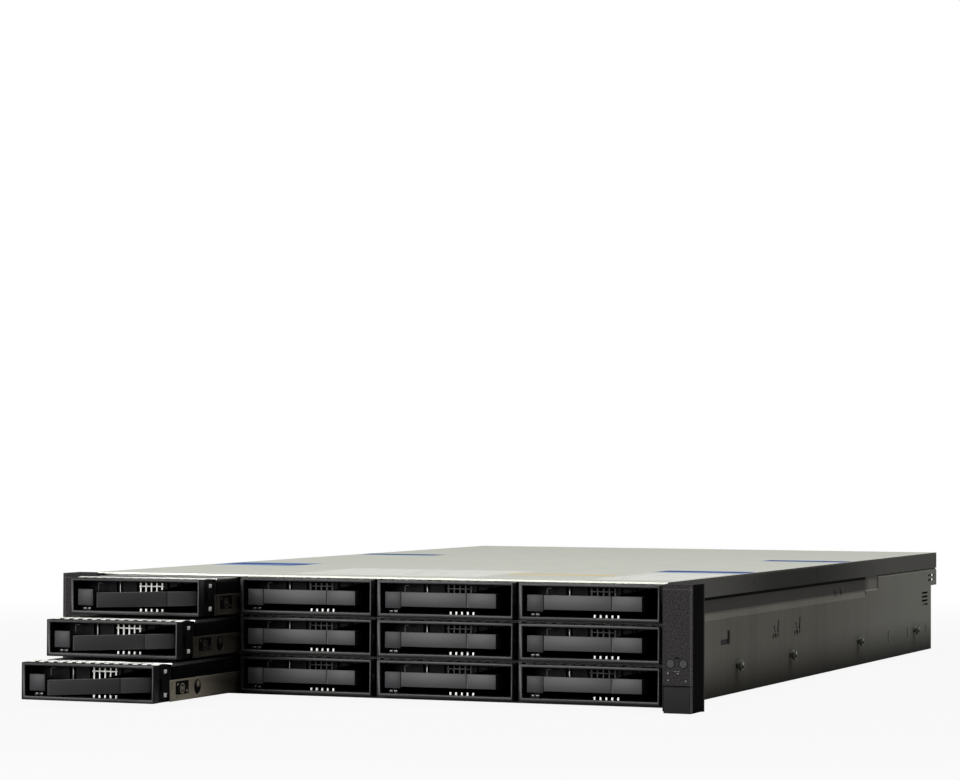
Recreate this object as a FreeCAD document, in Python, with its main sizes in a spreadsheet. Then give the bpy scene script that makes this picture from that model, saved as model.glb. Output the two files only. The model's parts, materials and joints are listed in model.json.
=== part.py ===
import FreeCAD, Part
import Sketcher
import math
import os

# A two-unit rack server with four columns by three rows of 3.5 inch drive bays.
# Frame: X to the right seen from the front, Y to the rear, Z up, in millimetres.
# The origin is on the underside of the base, on the middle plane, at the rack plane,
# which is the back face of the two rack ears.


# ---------------------------------------------------------------- driving dimensions

DIMENSIONS = {
    # whole machine
    "ear_span": 482.6, "ear_tall": 87.0, "ear_drop": 2.6, "ear_deep": 25.0, "ear_skin": 2.0,
    "body_wide": 439.0, "wall": 1.2, "front_reach": 13.0, "lower_long": 725.0, "hood_reach": 20.0,
    "hood_low": 56.4,
    # joggle of the side walls, which lets the cover flanges lie flush
    "joggle_low": 55.0, "joggle_rise": 4.0, "catch_low": 59.5, "catch_start": 502.0,
    "catch_end": 542.0, "flange_low": 71.5, "flange_gap": 0.3, "cover_seam": 355.0, "cover_gap": 0.6,
    "dimple_low": 76.0, "dimple_wide": 1.6, "dimple_tall": 3.5,
    # drive bays; the covers come down into the top bays by top_gap
    "bay_wide": 104.2, "bay_tall": 27.2, "post_thick": 2.5, "shelf_thick": 0.8, "cage_rear": 158.0,
    "top_gap": 0.4,
    # bezel ring and head of a carrier
    "ring_side_gap": 1.8, "ring_top_gap": 1.4, "ring_deep": 8.0, "ring_front": 21.5, "ring_lift": 0.5,
    "rim_left": 2.8, "rim_right": 1.4, "rim_top": 2.1, "rim_bottom": 2.6, "head_deep": 27.0,
    "head_under": 0.1, "well_deep": 18.0, "panel_thick": 2.0,
    # arched strip on the head, and the grille in the head's panel
    "shield_thick": 0.5, "shield_long": 20.0, "shield_rise": 0.4, "shield_foot": 2.0,
    "shield_slope": 4.0, "vent_pitch": 22.2, "vent_across": 3.2, "vent_first": 6.8,
    "grille_left": 47.0, "grille_wide": 18.0, "grille_edge": 1.4, "grille_bar": 0.9, "cross_bar_low": 19.4,
    # drive and side rails
    "drive_wide": 101.6, "drive_long": 147.0, "drive_tall": 26.1, "drive_start": 30.0,
    "drive_under": 0.2, "lid_thick": 2.4, "lid_inset": 1.5, "lid_short": 12.0,
    "rail_thick": 0.8, "rail_tall": 17.0, "rail_start": 24.0, "rail_end": 176.0,
    "rail_taper": 60.0, "rail_drop": 6.8, "rail_hole": 5.0, "rail_hole_back": 20.0,
    # lever and button
    "lever_left": 18.1, "lever_right": 89.5, "lever_low": 6.6, "lever_high": 17.7, "lever_thick": 3.0,
    "face_inset": 1.0, "pivot_across": 92.8, "pivot_back": 14.0, "barrel_radius": 2.3,
    "pin_radius": 0.9, "pin_clearance": 0.06, "lever_open": 44.0, "web_out": 0.8, "web_in": 2.2, "web_root": 2.1,
    "button_left": 5.8, "button_wide": 12.0, "button_low": 6.3, "button_tall": 11.5, "button_thick": 3.0,
    "button_travel": 1.5, "stem_inset": 3.0, "slide_gap": 0.3,
    "seam_left": -25.5, "seam_wide": 1.2, "seam_deep": 0.6,
    # how far the left column stands out
    "out_top": 56.0, "out_middle": 89.0, "out_bottom": 123.5,
    # rack ears; the left one laps over the body's edge strip by ear_lap
    "ear_lap": 6.2, "ear_lap_gap": 0.2, "ear_corner": 1.6, "ear_side": 1.6, "roof_of_recess": 2.0,
    "recess_spare": 1.2, "flap_wide": 18.8, "flap_tall": 17.7, "flap_thick": 2.0, "flap_gap": 0.3,
    "flap_edge": 2.2, "flap_rise": 0.6, "hinge_radius": 0.8, "hinge_stub": 0.7, "hinge_hole": 0.5,
    "front_button_radius": 2.8, "front_button_gap": 0.35, "front_button_proud": 0.2,
    "front_button_collar": 0.9, "collar_gap": 0.4, "collar_thick": 1.2,
    "front_button_rise": 31.0, "power_button_across": 225.2, "id_button_across": 234.4,
    "bracket_leg": 16.0, "bracket_thick": 1.5, "bracket_low": 8.0, "bracket_high": 76.0,
    # captive screws of the ears, and studs for slide rails
    "screw_across": 232.55, "screw_rise": 2.8, "screw_radius": 2.5, "screw_free": 12.0,
    "screw_neck_radius": 2.2, "screw_head_radius": 4.3, "screw_clearance": 0.3,
    "screw_head_long": 9.0, "screw_slot_wide": 1.0, "screw_slot_deep": 1.5,
    "stud_rise": 20.0, "stud_radius": 2.6, "stud_head_radius": 4.2, "stud_neck": 2.4, "stud_head": 2.0,
    # rear of the machine
    "psu_wide": 73.5, "psu_tall": 39.0, "psu_long": 185.0, "psu_gap": 0.4, "psu_lift": 0.3,
    "edge_tab_long": 8.0, "edge_tab_inset": 12.0, "edge_tab_low": 8.0, "edge_tab_thick": 2.0,
    "inlet_left": 9.0, "inlet_low": 4.6, "inlet_wide": 24.0, "inlet_tall": 16.0, "inlet_corner": 3.6,
    "inlet_deep": 18.0, "blade_long": 10.0, "blade_wide": 2.0, "blade_tall": 4.0,
    "supply_vent_left": 40.0, "supply_vent_wide": 2.0, "supply_vent_pitch": 4.2,
    "supply_vent_edge": 5.0, "supply_vent_deep": 3.0,
    "handle_left": 8.0, "handle_wide": 26.0, "handle_low": 24.0, "handle_tall": 10.0,
    "handle_bar": 4.0, "handle_reach": 18.0,
    "latch_left": 2.0, "latch_low": 26.0, "latch_tall": 8.0, "latch_thick": 2.0, "latch_long": 12.0,
    "latch_gap": 0.3, "latch_key": 3.3,
    "slot_wide": 119.0, "slot_tall": 18.4, "slot_pitch": 20.32, "slot_column": 128.0,
    "slot_low": 43.6, "slot_rim": 3.0, "slot_sheet": 0.8, "slot_vent_wide": 18.0,
    "slot_vent_tall": 7.0, "slot_vent_edge": 12.0,
    "port_low": 7.7, "port_window": 15.4, "port_reach": 112.0, "port_long": 20.0, "port_deep": 9.0,
    "port_rim": 2.2, "port_set_back": 0.5,
    # fans, backplane and motherboard
    "board_thick": 2.0, "backplane_gap": 0.3, "backplane_edge": 0.5, "backplane_top": 1.0,
    "air_slot_edge": 12.0, "air_slot_tall": 6.0, "air_slot_rise": 16.0,
    "socket_wide": 44.0, "socket_tall": 6.5, "socket_rise": 2.5,
    "fan_size": 80.0, "fan_deep": 38.0, "fan_front": 205.0, "fan_rim": 2.0, "fan_pitch": 140.0,
    "spider_thick": 3.0, "spider_wide": 4.0, "spider_edge": 1.0, "spider_inset": 1.7,
    "hub_radius": 17.0, "hub_start": 5.0, "hub_gap": 1.0, "shaft_radius": 2.0,
    "blade_root": 2.0, "blade_gap": 2.5, "board_rise": 6.0, "board_front": 300.0,
    "board_back_gap": 3.0, "board_wide": 420.0, "board_tail_wide": 282.0, "board_step": 530.0,
    "standoff_radius": 3.5, "memory_front": 340.0, "memory_long": 133.0, "memory_tall": 31.0,
    "memory_pitch": 8.2, "memory_socket_tall": 6.0, "memory_latch": 4.0,
    "memory_stick": 1.5, "sink_wide": 78.0, "sink_long": 108.0,
    "sink_tall": 64.0, "sink_across": 100.0, "sink_front": 352.0, "sink_base": 6.0, "fin_thick": 1.0,
}

# Places, in millimetres, of things that come in sets.
HOOK_SLOT = ((105, 36), (127, 36), (127, 46), (121, 46), (121, 40), (105, 40))
HOLE_GROUPS = ((234, 34), (241, 34), (246, 38), (292, 34), (299, 34), (304, 38))
LOW_SLOTS = (574, 639, 705)
VENT_RUNGS = ((692, 39.5), (692, 42.9), (692, 46.3), (692, 49.7), (714, 60.5), (714, 64.5))
FRONT_DIMPLES, LID_DIMPLES = (186, 304, 349), (375, 404)
STUD_PLACES = (144, 281, 477, 663)
STANDOFFS = ((-130, 320), (130, 320), (-130, 500), (130, 500), (-130, 700), (130, 700))
MEMORY_STARTS = (-200, -52, 20, 150)
REAR_PORTS = ((-104, 16.5, 13.6), (-84, 16.5, 13.6), (-56, 31, 12), (20, 14, 13.6), (40, 14, 13.6),
              (66, 16.5, 13.6))

# Small rounds that repeat are even polygons, which keeps the part light.
ROUND_SIDES = 12
FLAT_TO_CORNER = 1 / math.cos(math.pi / ROUND_SIDES)
BLADES, FINS, SHIELD_VENTS, SUPPLY_VENTS, SLOT_VENTS, GRILLE_BARS = 7, 12, 5, 7, 4, 3
MEMORY_IN_GROUP = 4
BLADE_SECTION = [(-9, 8), (-7.6, 7.2), (8, 28), (6.6, 28.8)]
BLADE_PINS = ((-7.4, 5.4), (5.4, 5.4), (-1, 8.9))

doc = FreeCAD.newDocument("rack_server")
sheet = doc.addObject("Spreadsheet::Sheet", "dims")
for row, (alias, number) in enumerate(DIMENSIONS.items(), start=1):
    sheet.set("A%d" % row, alias)
    sheet.set("B%d" % row, str(number))
    sheet.setAlias("B%d" % row, alias)
doc.recompute()


class Size:
    """A length that knows both its value in millimetres and the sheet expression that gives it."""

    def __init__(self, value, text):
        self.value = value
        self.text = text

    def _joined(self, other, sign, value):
        return Size(value, "(%s %s %s)" % (self.text, sign, as_size(other).text))

    def __add__(self, other):
        return self._joined(other, "+", self.value + as_size(other).value)

    def __sub__(self, other):
        return self._joined(other, "-", self.value - as_size(other).value)

    def __mul__(self, other):
        return self._joined(other, "*", self.value * as_size(other).value)

    def __truediv__(self, other):
        return self._joined(other, "/", self.value / as_size(other).value)

    def __neg__(self):
        return Size(-self.value, "(0 - %s)" % self.text)

    def __radd__(self, other):
        return as_size(other) + self

    def __rsub__(self, other):
        return as_size(other) - self

    def __rmul__(self, other):
        return as_size(other) * self


def as_size(number):
    """A plain number as a Size; a Size stays as it is."""
    return number if isinstance(number, Size) else Size(float(number), repr(float(number)))


def dim(alias):
    """The Size of one cell of the sheet."""
    return Size(DIMENSIONS[alias], "dims.%s" % alias)


# ---------------------------------------------------------------- modelling helpers

# The sketch normal of XZ points to -Y, so its offsets and directions are turned round.
PLANES = {"XY": ("XY_Plane", 1), "XZ": ("XZ_Plane", -1), "YZ": ("YZ_Plane", 1)}


def new_body(name):
    """An empty body that may hold more than one solid."""
    made = doc.addObject("PartDesign::Body", name)
    made.AllowCompound = True
    return made


def origin_feature(body, role):
    """The origin plane or axis of a body that has the given role."""
    return [feature for feature in body.Origin.OriginFeatures if feature.Role == role][0]


def new_sketch(body, plane, at):
    """An empty sketch on an origin plane, moved along the plane's own world axis to at."""
    role, sense = PLANES[plane]
    sketch = body.newObject("Sketcher::SketchObject", body.Name + "_sketch")
    sketch.AttachmentSupport = [(origin_feature(body, role), "")]
    sketch.MapMode = "FlatFace"
    sketch.setExpression(".AttachmentOffset.Base.z", (as_size(at) * sense).text)
    return sketch


def hold(sketch, kind, first, second, size):
    """Ties one coordinate of a sketch point to the sheet."""
    index = sketch.addConstraint(Sketcher.Constraint(kind, -1, 1, first, second, size.value))
    sketch.setExpression("Constraints[%d]" % index, size.text)


def add_polygon(sketch, corners):
    """A closed polygon whose every corner is tied to the sheet."""
    spots = [(as_size(across), as_size(up)) for across, up in corners]
    vectors = [FreeCAD.Vector(across.value, up.value, 0) for across, up in spots]
    start = sketch.GeometryCount
    for index, vector in enumerate(vectors):
        sketch.addGeometry(Part.LineSegment(vector, vectors[(index + 1) % len(vectors)]), False)
    for index, (across, up) in enumerate(spots):
        following = start + (index + 1) % len(spots)
        sketch.addConstraint(Sketcher.Constraint("Coincident", start + index, 2, following, 1))
        hold(sketch, "DistanceX", start + index, 1, across)
        hold(sketch, "DistanceY", start + index, 1, up)


def add_circle(sketch, across, up, radius):
    """A circle tied to the sheet by its centre and radius."""
    across, up, radius = as_size(across), as_size(up), as_size(radius)
    centre = FreeCAD.Vector(across.value, up.value, 0)
    index = sketch.addGeometry(Part.Circle(centre, FreeCAD.Vector(0, 0, 1), radius.value), False)
    hold(sketch, "DistanceX", index, 3, across)
    hold(sketch, "DistanceY", index, 3, up)
    bound = sketch.addConstraint(Sketcher.Constraint("Radius", index, radius.value))
    sketch.setExpression("Constraints[%d]" % bound, radius.text)


def pad(body, sketch, plane, length):
    """Adds material from the sketch towards the positive world axis of its plane."""
    feature = body.newObject("PartDesign::Pad", body.Name + "_pad")
    feature.Profile = sketch
    feature.setExpression("Length", as_size(length).text)
    feature.Reversed = PLANES[plane][1] < 0
    sketch.Visibility = False
    return feature


def pocket(body, sketch, plane, length):
    """Cuts from the sketch towards the positive world axis of its plane."""
    feature = body.newObject("PartDesign::Pocket", body.Name + "_pocket")
    feature.Profile = sketch
    feature.setExpression("Length", as_size(length).text)
    feature.Reversed = PLANES[plane][1] > 0
    sketch.Visibility = False
    return feature


def slab(body, plane, at, length, *outlines):
    """Pads one or more polygons from at, over length, along the plane's world axis."""
    sketch = new_sketch(body, plane, at)
    for outline in outlines:
        add_polygon(sketch, outline)
    return pad(body, sketch, plane, length)


def rod(body, plane, at, length, across, up, radius):
    """Pads one round rod from at, over length."""
    sketch = new_sketch(body, plane, at)
    add_circle(sketch, across, up, radius)
    return pad(body, sketch, plane, length)


def cut(body, plane, at, length, *outlines):
    """Pockets one or more polygons from at, over length."""
    sketch = new_sketch(body, plane, at)
    for outline in outlines:
        add_polygon(sketch, outline)
    return pocket(body, sketch, plane, length)


def drill(body, plane, at, length, *rounds):
    """Pockets one or more circles, each (across, up, radius), from at, over length."""
    sketch = new_sketch(body, plane, at)
    for across, up, radius in rounds:
        add_circle(sketch, across, up, radius)
    return pocket(body, sketch, plane, length)


def box(left, low, right, high):
    """The outline of a rectangle, for slab and cut."""
    return [(left, low), (right, low), (right, high), (left, high)]


def even(across, up, radius, sides=ROUND_SIDES):
    """The outline of an even polygon, with radius to its corners."""
    across, up = as_size(across), as_size(up)
    corners = []
    for index in range(sides):
        angle = 2 * math.pi * index / sides
        step, turn = round(math.cos(angle), 6), round(math.sin(angle), 6)
        corners.append((across + radius * step, up + radius * turn))
    return corners


def bore(across, up, radius):
    """The outline of a running hole, with radius to the middle of its flats."""
    return even(across, up, radius * FLAT_TO_CORNER)


def mirrored(outline):
    """The same outline on the other side of the middle plane."""
    return [(-as_size(across), up) for across, up in outline]


def row_of(body, feature, axis_role, step, count):
    """Repeats a feature count times along an origin axis of its body."""
    pattern = body.newObject("PartDesign::LinearPattern", body.Name + "_row")
    pattern.Originals = [feature]
    pattern.Direction = (origin_feature(body, axis_role), [""])
    pattern.setExpression("Length", (as_size(step) * (count - 1)).text)
    pattern.Occurrences = count
    body.Tip = pattern
    return pattern


def placed(label, members, across=0, back=0, up=0, turn=0):
    """One sub-part made of the given members, moved and turned about Z by values of the sheet."""
    group = doc.addObject("Part::Compound", label)
    group.Links = members
    group.Placement = FreeCAD.Placement(FreeCAD.Vector(0, 0, 0), FreeCAD.Rotation(FreeCAD.Vector(0, 0, 1), 0))
    group.setExpression(".Placement.Base.x", as_size(across).text)
    group.setExpression(".Placement.Base.y", as_size(back).text)
    group.setExpression(".Placement.Base.z", as_size(up).text)
    if as_size(turn).value:
        group.setExpression(".Placement.Rotation.Angle", as_size(turn).text + " * 1deg")
    return group


# ---------------------------------------------------------------- shared places

WALL = dim("wall")
HALF = dim("body_wide") / 2
FRONT = -dim("front_reach")
BAY_PITCH = dim("bay_wide") + dim("post_thick")
ROW_PITCH = dim("bay_tall") + dim("shelf_thick")
ROOF = WALL + ROW_PITCH * 2 + dim("bay_tall") - dim("top_gap")
TOP = ROOF + WALL
REAR = dim("lower_long")
HOOD_REAR = REAR + dim("hood_reach")
CAGE_RIGHT = HALF - WALL * 2
RING_WIDE = dim("bay_wide") - dim("ring_side_gap")
RING_TALL = dim("bay_tall") - dim("ring_top_gap")
DRIVE_LEFT = (RING_WIDE - dim("drive_wide")) / 2
DRIVE_RIGHT = RING_WIDE - DRIVE_LEFT
HEAD_TOP = RING_TALL - dim("head_under") - dim("shield_thick")
FAN_BORE = dim("fan_size") / 2 - dim("fan_rim")
BOARD_TOP = dim("board_rise") + dim("board_thick")
PSU_FLOOR = WALL + dim("psu_lift")


def bay_centre(column):
    """Where the middle of a column of bays is; column 0 is the left one."""
    return CAGE_RIGHT - dim("bay_wide") / 2 - BAY_PITCH * (3 - column)


def bay_floor(level):
    """The floor of a row of bays; level 0 is the lowest."""
    return WALL + ROW_PITCH * level


# ---------------------------------------------------------------- chassis and covers

def wall_outline(low, bend, rise):
    """The section of the right side wall from low up, with its inward joggle from bend to rise."""
    return [(HALF, low), (HALF, bend), (HALF - WALL, rise), (HALF - WALL, ROOF),
            (HALF - WALL * 2, ROOF), (HALF - WALL * 2, rise), (HALF - WALL, bend), (HALF - WALL, low)]


def tray_outline(bend, rise):
    """The section of the tray: the base and both side walls in one fold."""
    right = [(HALF, 0), (HALF, bend), (HALF - WALL, rise), (HALF - WALL, ROOF),
             (HALF - WALL * 2, ROOF), (HALF - WALL * 2, rise), (HALF - WALL, bend), (HALF - WALL, WALL)]
    return right + mirrored(right)[::-1]


def side_openings():
    """Outlines, in Y and Z, of the holes that both side walls share."""
    holes = [list(HOOK_SLOT)]
    holes += [box(back, up, back + 3, up + 3.5) for back, up in HOLE_GROUPS]
    holes += [box(back, 14, back + 2.5, 23) for back in LOW_SLOTS]
    holes += [box(back, up, back + 21, up + 1.8) for back, up in VENT_RUNGS]
    return holes


def flange_bend():
    """Where the rear walls turn in under the cover flanges: the lower and upper Z of the bend."""
    return dim("flange_low") - WALL * 1.5, dim("flange_low") - dim("flange_gap")


def rear_panel():
    """The riveted rear panel with its supply bays, port window and slot windows."""
    body = new_body("rear_sheet")
    face = REAR - WALL
    bend, rise = flange_bend()
    right = [(HALF - WALL, WALL), (HALF - WALL, bend), (HALF - WALL * 2, rise), (HALF - WALL * 2, ROOF)]
    slab(body, "XZ", face, WALL, right + mirrored(right)[::-1])
    inner = psu_sides()[0]
    bay = box(inner - dim("psu_gap"), WALL, HALF - WALL, PSU_FLOOR + dim("psu_tall") + dim("psu_gap"))
    reach = dim("port_reach")
    windows = [bay, mirrored(bay), box(-reach, dim("port_low"), reach, dim("port_low") + dim("port_window"))]
    rim = dim("slot_rim")
    for column in (-1, 0, 1):
        for level in range(2):
            low = dim("slot_low") + dim("slot_pitch") * level + rim
            left = dim("slot_column") * column - dim("slot_wide") / 2 + rim
            windows.append(box(left, low, left + dim("slot_wide") - rim * 2, low + dim("slot_tall") - rim * 2))
    cut(body, "XZ", face, WALL, *windows)
    return body


def standoffs():
    """The six hexagonal standoffs that are pressed into the base and carry the board."""
    body = new_body("board_standoffs")
    posts = [even(across, back, dim("standoff_radius"), 6) for across, back in STANDOFFS]
    slab(body, "XY", WALL, dim("board_rise") - WALL, *posts)
    return body


def chassis():
    """The folded tray with its hood."""
    body = new_body("tray")
    joggle, catch = dim("joggle_low"), dim("catch_low")
    slab(body, "XZ", FRONT, dim("catch_start") - FRONT + WALL,
         tray_outline(joggle, joggle + dim("joggle_rise")))
    slab(body, "XZ", dim("catch_start"), dim("catch_end") - dim("catch_start") + WALL,
         tray_outline(catch, catch + WALL))
    bend, rise = flange_bend()
    slab(body, "XZ", dim("catch_end"), REAR - dim("catch_end"), tray_outline(bend, rise))
    hood = wall_outline(dim("hood_low"), bend, rise)
    slab(body, "XZ", REAR, dim("hood_reach"), hood, mirrored(hood))
    cut(body, "YZ", HALF - WALL * 2, WALL * 2, *side_openings())
    cut(body, "YZ", -HALF, WALL * 2, *side_openings())
    return body


def cover(label, start, length, marks):
    """A top panel with a flange down each side, from start over length, with its spot dimples."""
    body = new_body(label)
    low = dim("flange_low")
    outer = [(HALF, low), (HALF, TOP)]
    inner = [(HALF - WALL, low), (HALF - WALL, ROOF)]
    slab(body, "XZ", start, length, outer + mirrored(outer)[::-1] + mirrored(inner) + inner[::-1])
    foot, wide, tall = dim("dimple_low"), dim("dimple_wide"), dim("dimple_tall")
    for side in (HALF - WALL, -HALF):
        cut(body, "YZ", side, WALL, *[box(spot, foot, wide + spot, foot + tall) for spot in marks])
    return body


# ---------------------------------------------------------------- drive cage and carriers

def drive_cage():
    """Posts and shelves between the bays, open above and below, with a cover strip on the left."""
    body = new_body("cage")
    left = bay_centre(0) - dim("bay_wide") / 2
    shoulder = dim("joggle_low") - WALL
    outline = [(left - WALL, WALL), (HALF - WALL, WALL), (HALF - WALL, shoulder),
               (CAGE_RIGHT, shoulder), (CAGE_RIGHT, ROOF), (left - WALL, ROOF)]
    slab(body, "XZ", FRONT, dim("cage_rear") + dim("front_reach"), outline)
    bays = []
    for column in range(4):
        for level in range(3):
            low = bay_floor(level)
            side = bay_centre(column) - dim("bay_wide") / 2
            bays.append(box(side, low, side + dim("bay_wide"), low + dim("bay_tall")))
    cut(body, "XZ", FRONT, dim("cage_rear") + dim("front_reach"), *bays)
    strip = box(-HALF + WALL * 2, WALL, left - WALL, ROOF)
    slab(body, "XZ", FRONT, WALL, strip)
    return body


def bezel():
    """The moulded ring and head of a carrier, from the ring's lower left front corner."""
    body = new_body("bezel")
    ring, deep, back = dim("ring_deep"), dim("well_deep"), dim("head_deep")
    slab(body, "XZ", 0, ring, box(0, 0, RING_WIDE, RING_TALL))
    slab(body, "XZ", ring, back - ring, box(DRIVE_LEFT, dim("head_under"), DRIVE_RIGHT, HEAD_TOP))
    well = box(dim("rim_left"), dim("rim_bottom"), RING_WIDE - dim("rim_right"), RING_TALL - dim("rim_top"))
    cut(body, "XZ", 0, deep, well)
    guide_left, guide_top = dim("button_left") + dim("stem_inset"), dim("button_low") + dim("stem_inset")
    guide_right = guide_left + dim("button_wide") - dim("stem_inset") * 2
    slab(body, "XZ", ring, deep - ring,
         box(guide_left, dim("rim_bottom"), guide_right, guide_top - dim("slide_gap")))
    panel_back = deep + dim("panel_thick")
    cut(body, "XZ", panel_back, back - panel_back, well)
    cut(body, "XZ", deep, dim("panel_thick"), grille_window())
    return body


def grille_window():
    """The window in the head's panel, which the steel grille fills."""
    edge, left = dim("grille_edge"), dim("grille_left")
    return box(left, dim("rim_bottom") + edge, left + dim("grille_wide"), RING_TALL - dim("rim_top") - edge)


def grille():
    """A steel grille of upright bars and one cross bar, whose ends meet the edges of the window."""
    body = new_body("grille")
    (left, low), _, (right, high), _ = grille_window()
    deep, bar = dim("well_deep"), dim("grille_bar")
    pitch = (right - left) / (GRILLE_BARS + 1)
    upright = slab(body, "XZ", deep, bar, box(left + pitch - bar / 2, low, left + pitch + bar / 2, high))
    row_of(body, upright, "X_Axis", pitch, GRILLE_BARS)
    cross = dim("cross_bar_low")
    slab(body, "XZ", deep, bar, box(left, cross, right, cross + bar))
    return body


def shield():
    """The arched steel strip on top of the head, with a row of vents in its front slope."""
    body = new_body("shield")
    thick, rise, foot, slope = dim("shield_thick"), dim("shield_rise"), dim("shield_foot"), dim("shield_slope")
    start = dim("ring_deep")
    end = start + dim("shield_long")
    crest = HEAD_TOP + rise
    under = [(start, HEAD_TOP), (start + foot, HEAD_TOP), (start + foot + slope, crest),
             (end - foot - slope, crest), (end - foot, HEAD_TOP), (end, HEAD_TOP)]
    over = [(back, up + thick) for back, up in under[::-1]]
    slab(body, "YZ", DRIVE_LEFT, dim("drive_wide"), under + over)
    reach = dim("vent_across") / 2
    across, back = dim("vent_first"), start + foot + slope / 2
    hole = cut(body, "XY", HEAD_TOP, rise + thick,
               box(across - reach, back - reach, across + reach, back + reach))
    row_of(body, hole, "X_Axis", dim("vent_pitch"), SHIELD_VENTS)
    return body


def side_rails():
    """The two steel rails that carry the drive, each tapered at the back and pierced near its front."""
    body = new_body("side_rails")
    low, tall, thick = -dim("drive_under"), dim("rail_tall"), dim("rail_thick")
    start, end, taper = dim("rail_start"), dim("rail_end"), dim("rail_taper")
    top = low + tall
    profile = [(start, low), (end, low), (end, low + tall - dim("rail_drop")), (start + taper, top), (start, top)]
    hole = even(start + dim("rail_hole_back"), low + tall / 2, dim("rail_hole"), 6)
    for side in (DRIVE_LEFT - thick, DRIVE_RIGHT):
        slab(body, "YZ", side, thick, profile)
        cut(body, "YZ", side, thick, hole)
    return body


def drive():
    """A 3.5 inch disk drive: cast base with a stepped steel top cover."""
    body = new_body("drive")
    start, under, lid, inset = dim("drive_start"), -dim("drive_under"), dim("lid_thick"), dim("lid_inset")
    rear = start + dim("drive_long")
    step = dim("drive_tall") - lid
    slab(body, "XY", under, step, box(DRIVE_LEFT, start, DRIVE_RIGHT, rear))
    slab(body, "XY", under + step, lid,
         box(DRIVE_LEFT + inset, start + inset, DRIVE_RIGHT - inset, rear - dim("lid_short")))
    return body


def lever():
    """The ejector lever with its hinge pin axis at the origin: face plate, web and barrel."""
    body = new_body("lever")
    low, tall = dim("lever_low"), dim("lever_high") - dim("lever_low")
    face = -dim("pivot_back") + dim("face_inset")
    back = face + dim("lever_thick")
    left = dim("lever_left") - dim("pivot_across")
    right = dim("lever_right") - dim("pivot_across")
    radius, root = dim("barrel_radius"), dim("web_root")
    plate = [(left, face), (right, face), (right + dim("web_out"), back), (root, 0),
             (-root, 0), (right - dim("web_in"), back), (left, back)]
    slab(body, "XY", low, tall, plate)
    slab(body, "XY", low, tall, even(0, 0, radius))
    cut(body, "XY", low, tall, bore(0, 0, dim("pin_radius") + dim("pin_clearance")))
    seam = dim("seam_left")
    cut(body, "XZ", face, dim("seam_deep"), box(seam, low, seam + dim("seam_wide"), low + tall))
    return body


def hinge_pin():
    """The steel pin that the lever turns on, from floor to ceiling of the head's well."""
    body = new_body("hinge_pin")
    low, high = dim("rim_bottom"), RING_TALL - dim("rim_top")
    slab(body, "XY", low, high - low, even(dim("pivot_across"), dim("pivot_back"), dim("pin_radius")))
    return body


def release_button():
    """The catch button: a flat key with a stem that ends just short of the head's panel."""
    body = new_body("button")
    left, low = dim("button_left"), dim("button_low")
    right, high = left + dim("button_wide"), low + dim("button_tall")
    face, inset = dim("face_inset"), dim("stem_inset")
    back = face + dim("button_thick")
    slab(body, "XZ", face, dim("button_thick"), box(left, low, right, high))
    stem_end = dim("well_deep") - dim("button_travel") - dim("slide_gap")
    slab(body, "XZ", back, stem_end - back, box(left + inset, low + inset, right - inset, high - inset))
    return body


# ---------------------------------------------------------------- rack ears

def flap_edges():
    """The near and far X of the right flap."""
    far = dim("ear_span") / 2 - dim("flap_edge")
    return far - dim("flap_wide"), far


def flap_hinge():
    """Y and Z of a flap's hinge axis, which is in the middle of the flap's top edge."""
    half = dim("flap_thick") / 2
    return half - dim("ear_deep"), dim("flap_tall") - dim("ear_drop") + dim("flap_rise") - half


def sided(side, outline):
    """An outline drawn for the right, or mirrored to the left."""
    return outline if side > 0 else mirrored(outline)


def ear_outline(inner, low, outer, high):
    """The front outline of the right ear, with its two lower corners cut off."""
    corner = dim("ear_corner")
    return [(inner, low + corner), (inner + corner, low), (outer - corner, low), (outer, low + corner),
            (outer, high), (inner, high)]


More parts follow.
